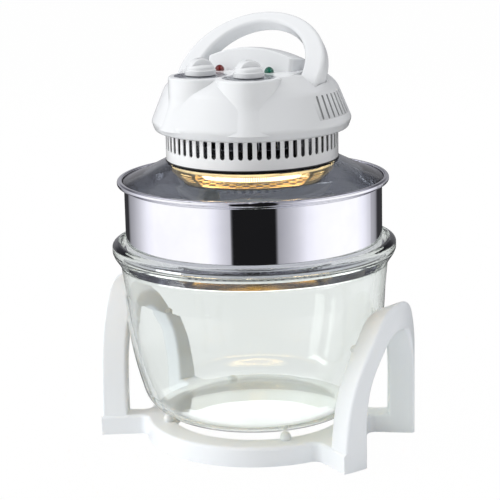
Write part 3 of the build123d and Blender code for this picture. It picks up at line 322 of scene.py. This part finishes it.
def glowingSteel(plan):
    # bright steel round the lit lamp: straw and brown heat tints, with a painted glow standing in for the
    # lamp's light on the faces turned towards it, and bare bright steel below the edge that the heat doesn't
    # reach
    made, tree = startMaterial(plan["name"])
    coords = addNode(tree, "ShaderNodeTexCoord")
    place = coords.outputs["Object"]
    tint = addNode(tree, "ShaderNodeTexNoise", {}, {
        "Vector": place, "Scale": perMm(plan["tintMm"]), "Detail": 3.0})
    hot = addNode(tree, "ShaderNodeMix", {"data_type": "RGBA"}, {
        0: tint.outputs["Fac"], 6: linear(plan["colour"]), 7: linear(plan["tint"])})
    level = addNode(tree, "ShaderNodeMapRange", {}, {
        **blotchRange, "Value": tint.outputs["Fac"],
        "To Min": glowSpread[0], "To Max": glowSpread[1]})
    flat = addNode(tree, "ShaderNodeVectorMath", {"operation": "MULTIPLY"}, {
        0: place, 1: (1.0, 1.0, 0.0)})
    outward = addNode(tree, "ShaderNodeVectorMath", {"operation": "NORMALIZE"}, {
        0: flat.outputs["Vector"]})
    facing = addNode(tree, "ShaderNodeVectorMath", {"operation": "DOT_PRODUCT"}, {
        0: outward.outputs["Vector"], 1: coords.outputs["Normal"]})
    inner = addNode(tree, "ShaderNodeMapRange", {}, {
        "Value": facing.outputs["Value"], "From Min": plan["outwardFacing"],
        "From Max": plan["inwardFacing"], "To Min": plan["glow"], "To Max": plan["innerGlow"]})
    parts = addNode(tree, "ShaderNodeSeparateXYZ", {}, {"Vector": place})
    above = addNode(tree, "ShaderNodeMapRange", {}, {
        "Value": parts.outputs["Z"], "From Min": plan["coolBelow"] - plan["edge"],
        "From Max": plan["coolBelow"] + plan["edge"]})
    tone = addNode(tree, "ShaderNodeMix", {"data_type": "RGBA"}, {
        0: above.outputs["Result"], 6: linear(plan["bare"]), 7: hot.outputs[2]})
    # the strip under the flange gets as strong a painted glow as the inside does
    strip = addNode(tree, "ShaderNodeMapRange", {}, {
        "Value": parts.outputs["Z"], "From Min": plan["stripAbove"] - plan["edge"],
        "From Max": plan["stripAbove"] + plan["edge"], "To Max": plan["innerGlow"]})
    most = addNode(tree, "ShaderNodeMath", {"operation": "MAXIMUM"}, {
        0: inner.outputs["Result"], 1: strip.outputs["Result"]})
    lit = addNode(tree, "ShaderNodeMath", {"operation": "MULTIPLY"}, {
        0: most.outputs[0], 1: level.outputs["Result"]})
    shown = addNode(tree, "ShaderNodeMath", {"operation": "MULTIPLY"}, {
        0: lit.outputs[0], 1: above.outputs["Result"]})
    rolled = addNode(tree, "ShaderNodeTexNoise", {}, {
        "Vector": place, "Scale": perMm(plan["markMm"]), "Detail": 4.0})
    face = addNode(tree, "ShaderNodeBump", {}, {
        "Strength": plan["bump"], "Distance": plan["markHeightMm"] / 1000.0,
        "Height": rolled.outputs["Fac"]})
    shader = addNode(tree, "ShaderNodeBsdfPrincipled", {}, {
        "Base Color": tone.outputs[2], "Metallic": 1.0, "Roughness": plan["roughness"],
        "Normal": face.outputs["Normal"], "Emission Color": linear(plan["light"]),
        "Emission Strength": shown.outputs[0]})
    return endMaterial(made, shader.outputs["BSDF"])


# painted glow: the pan, the guard and the lamp's steel give off the lamp's light as emission
litPan = glowingSteel({
    **lampSteel, "name": "litPanSteel", "colour": "#d8c9a0", "tint": "#b98a48",
    "roughness": 0.32, "tintMm": 22.0, "markMm": 1.5, "light": "#ffefc4",
    "glow": 6.0, "innerGlow": 7.5})
litGuard = glowingSteel({
    **lampSteel, "name": "litGuardSteel", "colour": "#caa766", "tint": "#94642c",
    "roughness": 0.36, "tintMm": 16.0, "markMm": 1.2, "light": "#f0bd5c",
    "glow": 1.6, "innerGlow": 3.4})
heatTintedSteelPaintedGlow = glowingSteel({
    **lampSteel, "name": "heatTintedSteelPaintedGlow", "colour": "#c9bfa8", "tint": "#8a6236",
    "roughness": 0.3, "tintMm": 20.0, "markMm": 1.5, "light": "#ffdf9c",
    "glow": 0.5, "innerGlow": 5.0, "coolBelow": 0.3012, "stripAbove": 0.3182})


# shared by the two mouldings of the head that have a dark side
headAbs = {
    "driftMm": 45.0, "grainMm": 1.6, "grainHeightMm": 0.02, "bump": 0.12, "ior": 1.53,
    "coat": 0.15, "coatRoughness": 0.06,
}


def radiusFrom(tree, parts):
    # how far a point is from the Z axis
    squares = [addNode(tree, "ShaderNodeMath", {"operation": "POWER"}, {
        0: parts.outputs[axis], 1: 2.0}).outputs[0] for axis in "XY"]
    both = addNode(tree, "ShaderNodeMath", {}, {0: squares[0], 1: squares[1]})
    return addNode(tree, "ShaderNodeMath", {"operation": "SQRT"}, {0: both.outputs[0]}).outputs[0]


def shadedAbs(made, tree, place, dark, plan):
    # the head's white ABS, turned towards a darker tone where dark is 1
    drift = addNode(tree, "ShaderNodeTexNoise", {}, {
        "Vector": place, "Scale": perMm(plan["driftMm"])})
    white = addNode(tree, "ShaderNodeMix", {"data_type": "RGBA"}, {
        0: drift.outputs["Fac"], 6: linear(plan["colour"]), 7: linear(plan["shade"])})
    tone = addNode(tree, "ShaderNodeMix", {"data_type": "RGBA"}, {
        0: dark, 6: white.outputs[2], 7: linear(plan["dark"])})
    grain = addNode(tree, "ShaderNodeTexNoise", {}, {
        "Vector": place, "Scale": perMm(plan["grainMm"]), "Detail": 4.0})
    face = addNode(tree, "ShaderNodeBump", {}, {
        "Strength": plan["bump"], "Distance": plan["grainHeightMm"] / 1000.0,
        "Height": grain.outputs["Fac"]})
    shader = addNode(tree, "ShaderNodeBsdfPrincipled", {}, {
        "Base Color": tone.outputs[2], "Roughness": plan["roughness"], "IOR": plan["ior"],
        "Normal": face.outputs["Normal"], "Coat Weight": plan["coat"],
        "Coat Roughness": plan["coatRoughness"]})
    return endMaterial(made, shader.outputs["BSDF"])


def ventAbsPaintedShade(plan):
    # the vent ring: the same ABS outside, with painted shade inside: its inner face is turned near black,
    # standing in for the shade in the slots
    made, tree = startMaterial(plan["name"])
    place = addNode(tree, "ShaderNodeTexCoord").outputs["Object"]
    parts = addNode(tree, "ShaderNodeSeparateXYZ", {}, {"Vector": place})
    # painted shade: near black from the ring's inner face inwards, by radius
    inside = addNode(tree, "ShaderNodeMapRange", {}, {
        "Value": radiusFrom(tree, parts), "From Min": plan["unshadedR"],
        "From Max": plan["paintedShadeR"]})
    return shadedAbs(made, tree, place, inside.outputs["Result"], plan)


ventRingPaintedShadeAbs = ventAbsPaintedShade({
    **headAbs, "name": "ventRingPaintedShadeAbs", "colour": "#fafbfc", "shade": "#f5f6f7",
    "dark": "#0a0a0b", "roughness": 0.24, "paintedShadeR": 0.0964, "unshadedR": 0.0974})


def coverAbsPaintedShade(plan):
    # the cover: painted shade in the louvres' grooves, and the same painted shade, near black, on the bosses
    # that hang down inside the vent ring
    made, tree = startMaterial(plan["name"])
    place = addNode(tree, "ShaderNodeTexCoord").outputs["Object"]
    parts = addNode(tree, "ShaderNodeSeparateXYZ", {}, {"Vector": place})
    # the cover's side is a cone, so the depth under it is measured from that cone
    lean = (plan["shoulderR"] - plan["slopeR"]) / (plan["slopeZ"] - plan["shoulderZ"])
    slope = addNode(tree, "ShaderNodeMath", {"operation": "MULTIPLY_ADD"}, {
        0: parts.outputs["Z"], 1: -lean, 2: plan["slopeR"] + plan["slopeZ"] * lean})
    under = addNode(tree, "ShaderNodeMath", {"operation": "SUBTRACT"}, {
        0: slope.outputs[0], 1: radiusFrom(tree, parts)})
    # painted shade: the louvres' grooves are darkened by their depth under the cone
    groove = addNode(tree, "ShaderNodeMapRange", {}, {
        "Value": under.outputs[0], "From Min": plan["grooveFrom"],
        "From Max": plan["grooveTo"], "To Max": plan["grooveDark"]})
    high = addNode(tree, "ShaderNodeMath", {"operation": "COMPARE"}, {
        0: parts.outputs["Z"], 1: plan["grooveZ"], 2: plan["grooveHalf"]})
    wide = addNode(tree, "ShaderNodeMath", {"operation": "COMPARE"}, {
        0: parts.outputs["Y"], 1: 0.0, 2: plan["grooveY"]})
    zone = addNode(tree, "ShaderNodeMath", {"operation": "MULTIPLY"}, {
        0: high.outputs[0], 1: wide.outputs[0]})
    paintedGrooveShade = addNode(tree, "ShaderNodeMath", {"operation": "MULTIPLY"}, {
        0: groove.outputs["Result"], 1: zone.outputs[0]})
    # painted shade: everything below the vent ring's top is turned near black
    shadedBelowRing = addNode(tree, "ShaderNodeMath", {"operation": "LESS_THAN"}, {
        0: parts.outputs["Z"], 1: plan["ringTop"]})
    dark = addNode(tree, "ShaderNodeMath", {"operation": "MAXIMUM"}, {
        0: paintedGrooveShade.outputs[0], 1: shadedBelowRing.outputs[0]})
    return shadedAbs(made, tree, place, dark.outputs[0], plan)


headCoverPaintedShadeAbs = coverAbsPaintedShade({
    **headAbs, "name": "headCoverPaintedShadeAbs", "colour": "#e7e9eb", "shade": "#e3e5e7",
    "dark": "#101112", "roughness": 0.2, "ringTop": 0.3612,
    "grooveDark": 0.55, "grooveFrom": 0.0002, "grooveTo": 0.0012,
    "slopeR": 0.0984, "slopeZ": 0.409, "shoulderR": 0.1134, "shoulderZ": 0.374,
    "grooveZ": 0.3925, "grooveHalf": 0.0128, "grooveY": 0.036})

finishes = {
    "white_plastic": glossAbs,
    "pad_rubber": translucentSilicone,
    "bowl_glass": pressedBorosilicate,
    "smoked_glass": smokedTemperedGlass,
    "polished_steel": mirrorStainless,
    "gasket_rubber": blackSilicone,
    "dial_plate": satinAluminium,
    "red_lens": redPolycarbonate,
    "green_lens": greenPolycarbonate,
    "lamp_steel": heatTintedSteelPaintedGlow,
    "zinc_steel": zincPlatedSteel,
    "lamp_glass": fusedQuartz,
    "ceramic": firedSteatite,
    "motor_iron": laminatedSteel,
    "copper": enamelledCopper,
    "fan_aluminium": pressedAluminium,
    "black_plastic": blackNylon,
    "natural_nylon": naturalNylon,
}
ownFinishes = {
    "stand": mouldedPolypropylene,
    "vent_ring": ventRingPaintedShadeAbs,
    "head_cover": headCoverPaintedShadeAbs,
    "thermostat_rod": blackSilicone,
    "insulation_pad": fibreFelt,
    "lamp_gasket": litFelt,
    "heater_pan": litPan,
    "lamp_guard": litGuard,
}

slotOf = {part["node"]: part["material_slot"] for part in frame["record"]["subparts"]}
for name, piece in frame["nodes"].items():
    piece.data.materials.clear()
    piece.data.materials.append(ownFinishes.get(name, finishes[slotOf[name]]))
print("materials on", len(frame["nodes"]), "CAD pieces")


def deselectAll():
    bpy.ops.object.select_all(action="DESELECT")


def settle(piece, name, body, finish):
    # leaves the place in the mesh, and gives the piece its body, slot and finish
    piece.name = name
    piece.data.transform(piece.matrix_basis)
    piece.matrix_basis = Matrix.Identity(4)
    piece.data.materials.clear()
    piece.data.materials.append(finish)
    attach(piece, body)
    return piece


def joinCopies(source, places):
    # one copy of the source's mesh at each place, all in one object
    deselectAll()
    copies = []
    for place in places:
        mesh = source.data.copy()
        mesh.transform(place)
        copy = bpy.data.objects.new("copy", mesh)
        bpy.context.scene.collection.objects.link(copy)
        copy.select_set(True)
        copies.append(copy)
    bpy.context.view_layer.objects.active = copies[0]
    bpy.ops.object.join()
    bpy.data.objects.remove(source)
    return copies[0]


# tungsten filament: a coil of fine wire round the ring of the tube, white hot
filamentPlan = {
    "ringR": 0.054, "height": 0.3085, "coilR": 0.0016, "wireR": 0.0003,
    "turns": 120, "firstAngle": 46.0, "lastAngle": 370.0, "lean": 12.0,
    "loopSides": 12, "wireSides": 5,
    "colour": "#8a8478", "roughness": 0.4, "light": "#ffd9a0", "glow": 60.0,
    "dimmest": 0.8,        # share of the glow
    "unevenMm": 9.0,
}


def glowingTungsten(plan):
    made, tree = startMaterial("glowingTungsten")
    place = addNode(tree, "ShaderNodeTexCoord").outputs["Object"]
    uneven = addNode(tree, "ShaderNodeTexNoise", {}, {
        "Vector": place, "Scale": perMm(plan["unevenMm"])})
    level = addNode(tree, "ShaderNodeMapRange", {}, {
        **noiseRange, "Value": uneven.outputs["Fac"],
        "To Min": plan["glow"] * plan["dimmest"], "To Max": plan["glow"]})
    shader = addNode(tree, "ShaderNodeBsdfPrincipled", {}, {
        "Base Color": linear(plan["colour"]), "Metallic": 1.0, "Roughness": plan["roughness"],
        "Emission Color": linear(plan["light"]),
        "Emission Strength": level.outputs["Result"]})
    return endMaterial(made, shader.outputs["BSDF"])


def makeFilament(plan):
    deselectAll()
    bpy.ops.mesh.primitive_torus_add(
        major_radius=plan["coilR"], minor_radius=plan["wireR"],
        major_segments=plan["loopSides"], minor_segments=plan["wireSides"])
    loop = bpy.context.object
    places = []
    step = (plan["lastAngle"] - plan["firstAngle"]) / plan["turns"]
    upright = Matrix.Rotation(math.radians(90.0 + plan["lean"]), 4, "X")
    for index in range(plan["turns"]):
        turn = Matrix.Rotation(math.radians(plan["firstAngle"] + step * index), 4, "Z")
        out = Matrix.Translation((plan["ringR"], 0.0, plan["height"]))
        places.append(turn @ out @ upright)
    coil = joinCopies(loop, places)
    bpy.ops.object.shade_smooth()
    settle(coil, "lamp_filament", "head", glowingTungsten(plan))
    print("filament of", plan["turns"], "turns")


makeFilament(filamentPlan)

# printed scales: minutes round the timer and degrees round the thermostat, each round the
# axis of its knob and over the knob's whole turn
knobJoints = {joint["child"]: joint for joint in frame["joints"]}
scalePlan = {
    "top": 0.42702, "tickIn": 0.0194, "minorOut": 0.0214,
    "majorOut": 0.0228, "tickWide": 0.00055, "ink": 0.00006, "numberR": 0.0257,
    "numberSize": 0.0040, "zeroAngle": 238.0, "curveSteps": 4, "turnedBelow": -0.5,
}
scales = {
    "timer": {
        "knob": knobJoints["timer_dial"], "minor": 24,
        "numbers": ("0", "10", "20", "30", "40", "50", "60"),
    },
    "thermostat": {
        "knob": knobJoints["thermostat_dial"], "minor": 21,
        "numbers": ("0", "65", "100", "125", "150", "175", "200", "250"),
    },
}

# screen-printed ink: dense grey black, with a slightly broken edge and a low sheen
screenInk = mouldedFinish({
    "name": "screenInk", "colour": "#34363a", "shade": "#42454a", "roughness": 0.5,
    "driftMm": 3.0, "grainMm": 0.4, "grainHeightMm": 0.01, "bump": 0.3, "ior": 1.5})


def tickMark(length, plan):
    deselectAll()
    bpy.ops.mesh.primitive_plane_add(size=1.0)
    mark = bpy.context.object
    mark.data.transform(Matrix.Diagonal((length, plan["tickWide"], 1.0, 1.0)))
    thick = mark.modifiers.new("ink", "SOLIDIFY")
    thick.thickness = plan["ink"]
    thick.offset = 1.0
    bpy.ops.object.modifier_apply(modifier="ink")
    return mark


def makeScale(name, dial, plan):
    x, y = dial["knob"]["pos_m"][:2]
    sweep = dial["knob"]["range_deg"][1]
    centre = Vector((x, y, plan["top"]))
    pieces = []
    for count, outer in ((dial["minor"], plan["minorOut"]),
                         (len(dial["numbers"]) - 1, plan["majorOut"])):
        mark = tickMark(outer - plan["tickIn"], plan)
        places = []
        for index in range(count + 1):
            angle = math.radians(plan["zeroAngle"] - sweep * index / count)
            middle = (outer + plan["tickIn"]) / 2.0
            places.append(Matrix.Translation(centre) @ Matrix.Rotation(angle, 4, "Z")
                          @ Matrix.Translation((middle, 0.0, 0.0)))
        pieces.append(joinCopies(mark, places))
    for index, number in enumerate(dial["numbers"]):
        angle = math.radians(plan["zeroAngle"] - sweep * index / (len(dial["numbers"]) - 1))
        deselectAll()
        bpy.ops.object.text_add()
        text = bpy.context.object
        text.data.body = number
        text.data.size = plan["numberSize"]
        text.data.align_x = "CENTER"
        text.data.align_y = "CENTER"
        text.data.extrude = plan["ink"] / 2.0
        text.data.resolution_u = plan["curveSteps"]
        bpy.ops.object.convert(target="MESH")
        text = bpy.context.object
        out = Vector((math.cos(angle), math.sin(angle), 0.0)) * plan["numberR"]
        # numbers stand upright from the centre, and the lowest ones are turned to be read
        quarter = math.pi / 2.0 if math.sin(angle) < plan["turnedBelow"] else -math.pi / 2.0
        facing = Matrix.Rotation(angle + quarter, 4, "Z")
        lift = Vector((0.0, 0.0, plan["ink"] / 2.0))
        text.data.transform(Matrix.Translation(centre + out + lift) @ facing)
        pieces.append(text)
    deselectAll()
    for piece in pieces:
        piece.select_set(True)
    bpy.context.view_layer.objects.active = pieces[0]
    bpy.ops.object.join()
    settle(pieces[0], name + "_scale", "head", screenInk)
    print("scale of the", name)


for name, dial in scales.items():
    makeScale(name, dial, scalePlan)

# pointer line: an inked strip that follows the arched top of the knob's grip
pointerPlan = {
    "archR": 0.01588, "archCentre": 0.43012, "wide": 0.0011, "thick": 0.00008, "clear": 0.00001,
    "from": 12.0, "to": 62.0, "steps": 14,
}


def makePointer(name, dial, plan):
    deselectAll()
    bpy.ops.mesh.primitive_plane_add(size=1.0)
    strip = bpy.context.object
    middle = plan["archR"] + plan["clear"] + plan["thick"] / 2.0
    upright = Matrix.Rotation(math.radians(90.0), 4, "Y")
    section = Matrix.Diagonal((plan["thick"], plan["wide"], 1.0, 1.0))
    shape = Matrix.Translation((0.0, 0.0, middle)) @ upright @ section
    strip.data.transform(Matrix.Rotation(math.radians(plan["from"]), 4, "Y") @ shape)
    bpy.ops.object.mode_set(mode="EDIT")
    bpy.ops.mesh.select_all(action="SELECT")
    bpy.ops.mesh.spin(
        steps=plan["steps"], angle=math.radians(plan["to"] - plan["from"]),
        center=(0.0, 0.0, 0.0), axis=(0.0, 1.0, 0.0))
    bpy.ops.mesh.select_all(action="SELECT")
    bpy.ops.mesh.normals_make_consistent(inside=False)
    bpy.ops.object.mode_set(mode="OBJECT")
    turn = Matrix.Rotation(math.radians(scalePlan["zeroAngle"]), 4, "Z")
    x, y = dial["knob"]["pos_m"][:2]
    strip.data.transform(Matrix.Translation((x, y, plan["archCentre"])) @ turn)
    settle(strip, name + "_pointer", name + "_dial", screenInk)
    print("pointer of the", name)


for name, dial in scales.items():
    makePointer(name, dial, pointerPlan)

# studio: a wide pale floor and a room of white panels, with a dark gap behind the camera
studioPlan = {
    "floorSize": 24.0, "floorColour": "#f4f4f4", "floorShows": 0.985,
    "roomLight": 0.62, "sideFall": -0.18, "mirroredLight": 1.27,
    "stripRise": 0.227, "stripHalf": 0.13, "stripTurn": 0.115,
    # grey by turn round the room: 0.5 is behind the camera, 0 and 1 are behind the object
    "mirrored": (
        (0.0, 0.04), (0.087, 0.03), (0.096, 0.2), (0.105, 0.29), (0.131, 0.39),
        (0.159, 0.55), (0.179, 0.71), (0.201, 0.885), (0.225, 0.98), (0.36, 1.0),
        (0.384, 0.98), (0.4, 0.86), (0.421, 0.66), (0.4445, 0.5), (0.4455, 0.01),
        (0.554, 0.01), (0.556, 0.32), (0.586, 0.48), (0.6065, 0.62), (0.633, 0.87),
        (0.655, 0.96), (0.708, 1.0), (0.785, 1.0), (0.81, 0.89), (0.828, 0.77),
        (0.843, 0.6), (0.86, 0.41), (0.885, 0.26), (0.893, 0.1), (0.9, 0.03), (1.0, 0.04)),
    # grey by height: 0 is straight down, 0.5 the horizon, 1 straight up
    "tiers": (
        (0.0, 0.8), (0.2, 0.75), (0.24, 0.22), (0.29, 0.3), (0.32, 1.0), (0.6, 1.0),
        (0.64, 0.4), (0.72, 0.3), (0.77, 0.95), (0.87, 0.95), (0.92, 0.45), (1.0, 0.4)),
    # grey seen through glass, by turn
    "refracted": (
        (0.0, 1.0), (0.1, 1.0), (0.25, 0.8), (0.4, 0.72), (0.6, 0.72), (0.75, 0.8),
        (0.9, 1.0)),
    "coolness": 1.08,      # how much bluer the mirrored panels are than grey
}


def makeFloor(plan):
    deselectAll()
    bpy.ops.mesh.primitive_plane_add(size=plan["floorSize"], location=(0, 0, 0))
    floor = bpy.context.object
    floor.name = "studioFloor"
    made, tree = startMaterial("paintedFloor")
    path = addNode(tree, "ShaderNodeLightPath")
    matt = addNode(tree, "ShaderNodeBsdfDiffuse", {}, {"Color": linear(plan["floorColour"])})
    glow = addNode(tree, "ShaderNodeEmission", {}, {"Color": (1, 1, 1, 1), "Strength": 1.0})
    share = addNode(tree, "ShaderNodeMath", {"operation": "MULTIPLY"}, {
        0: path.outputs["Is Camera Ray"], 1: plan["floorShows"]})
    seen = addNode(tree, "ShaderNodeMixShader", {}, {
        "Fac": share.outputs[0], 1: matt.outputs[0], 2: glow.outputs[0]})
    room = addNode(tree, "ShaderNodeBsdfTransparent")
    mirrored = addNode(tree, "ShaderNodeMath", {"operation": "MAXIMUM"}, {
        0: path.outputs["Is Glossy Ray"], 1: path.outputs["Is Transmission Ray"]})
    through = addNode(tree, "ShaderNodeMixShader", {}, {
        "Fac": mirrored.outputs[0], 1: seen.outputs[0], 2: room.outputs[0]})
    floor.data.materials.append(endMaterial(made, through.outputs[0]))


def bandRamp(tree, value, stops, coolness):
    ramp = addNode(tree, "ShaderNodeValToRGB", {}, {"Fac": value})
    ramp.color_ramp.interpolation = "LINEAR"
    while len(ramp.color_ramp.elements) < len(stops):
        ramp.color_ramp.elements.new(0.5)
    for element, (place, grey) in zip(ramp.color_ramp.elements, stops):
        element.position = place
        element.color = (grey, grey, min(1.0, grey * coolness), 1.0)
    return ramp.outputs["Color"]


def makeRoom(plan):
    world = bpy.data.worlds.new("studioRoom")
    bpy.context.scene.world = world
    world.use_nodes = True
    tree = world.node_tree
    tree.nodes.clear()
    azimuth = math.radians(cameraPlan["azimuth"])
    way = addNode(tree, "ShaderNodeTexCoord").outputs["Generated"]
    rise = addNode(tree, "ShaderNodeSeparateXYZ", {}, {"Vector": way}).outputs["Z"]
    front = addNode(tree, "ShaderNodeVectorMath", {"operation": "DOT_PRODUCT"}, {
        0: way, 1: (math.sin(azimuth), -math.cos(azimuth), 0.0)})
    right = addNode(tree, "ShaderNodeVectorMath", {"operation": "DOT_PRODUCT"}, {
        0: way, 1: (math.cos(azimuth), math.sin(azimuth), 0.0)})
    angle = addNode(tree, "ShaderNodeMath", {"operation": "ARCTAN2"}, {
        0: right.outputs["Value"], 1: front.outputs["Value"]})
    turn = addNode(tree, "ShaderNodeMath", {"operation": "MULTIPLY_ADD"}, {
        0: angle.outputs[0], 1: 0.5 / math.pi, 2: 0.5})
    # the dark strips behind the object reach only a little above and below its own height
    off = addNode(tree, "ShaderNodeMath", {"operation": "ADD"}, {0: rise, 1: plan["stripRise"]})
    away = addNode(tree, "ShaderNodeMath", {"operation": "ABSOLUTE"}, {0: off.outputs[0]})
    past = addNode(tree, "ShaderNodeMath", {"operation": "GREATER_THAN"}, {
        0: away.outputs[0], 1: plan["stripHalf"]})
    least = addNode(tree, "ShaderNodeMath", {"operation": "MULTIPLY"}, {
        0: past.outputs[0], 1: plan["stripTurn"]})
    most = addNode(tree, "ShaderNodeMath", {"operation": "SUBTRACT"}, {
        0: 1.0, 1: least.outputs[0]})
    above = addNode(tree, "ShaderNodeMath", {"operation": "MAXIMUM"}, {
        0: turn.outputs[0], 1: least.outputs[0]})
    kept = addNode(tree, "ShaderNodeMath", {"operation": "MINIMUM"}, {
        0: above.outputs[0], 1: most.outputs[0]})
    panels = bandRamp(tree, kept.outputs[0], plan["mirrored"], plan["coolness"])
    height = addNode(tree, "ShaderNodeMath", {"operation": "MULTIPLY_ADD"}, {
        0: rise, 1: 0.5, 2: 0.5})
    tiers = bandRamp(tree, height.outputs[0], plan["tiers"], plan["coolness"])
    mirrored = addNode(tree, "ShaderNodeMix", {"data_type": "RGBA", "blend_type": "MULTIPLY"}, {
        0: 1.0, 6: panels, 7: tiers}).outputs[2]
    refracted = bandRamp(tree, turn.outputs[0], plan["refracted"], plan["coolness"])
    path = addNode(tree, "ShaderNodeLightPath")
    # the windows are on the left, so the room's own light falls off to the right
    fall = addNode(tree, "ShaderNodeMath", {"operation": "MULTIPLY_ADD"}, {
        0: right.outputs["Value"], 1: plan["sideFall"], 2: plan["roomLight"]})
    lit = addNode(tree, "ShaderNodeBackground", {}, {
        "Color": (1, 1, 1, 1), "Strength": fall.outputs[0]})
    shown = [lit.outputs[0]]
    for ray, colour, strength in (
            ("Is Glossy Ray", mirrored, plan["mirroredLight"]),
            ("Is Transmission Ray", refracted, 1.0), ("Is Camera Ray", (1, 1, 1, 1), 1.0)):
        panel = addNode(tree, "ShaderNodeBackground", {}, {
            "Color": colour, "Strength": strength})
        both = addNode(tree, "ShaderNodeMixShader", {}, {
            "Fac": path.outputs[ray], 1: shown[-1], 2: panel.outputs[0]})
        shown.append(both.outputs[0])
    addNode(tree, "ShaderNodeOutputWorld", {}, {"Surface": shown[-1]})


makeFloor(studioPlan)
makeRoom(studioPlan)

# soft panels: a key from the left, one overhead, a low one for the stand, one from behind
lamps = {
    "keyPanel": {"place": (-2.3, -1.9, 2.0), "size": 1.6, "power": 40.0, "aim": 0.25},
    "topPanel": {"place": (0.1, 0.2, 2.6), "size": 2.2, "power": 18.5, "aim": 0.25},
    "lowPanel": {"place": (-1.1, -1.1, 0.35), "size": 0.7, "power": 2.8, "aim": 0.05},
    "backPanel": {"place": (-0.9, 2.3, 1.7), "size": 1.8, "power": 15.0, "aim": 0.25},
}


def makeLamp(name, plan):
    data = bpy.data.lights.new(name, "AREA")
    data.size = plan["size"]
    data.energy = plan["power"]
    lamp = bpy.data.objects.new(name, data)
    bpy.context.scene.collection.objects.link(lamp)
    lamp.location = plan["place"]
    sight = Vector((0.0, 0.0, plan["aim"])) - Vector(plan["place"])
    lamp.rotation_euler = sight.to_track_quat("-Z", "Y").to_euler()
    lamp.visible_glossy = False  # the steel mirrors the room's panels, not the lamps


for name, plan in lamps.items():
    makeLamp(name, plan)
bpy.context.scene.view_settings.view_transform = "Standard"
print("studio lit")
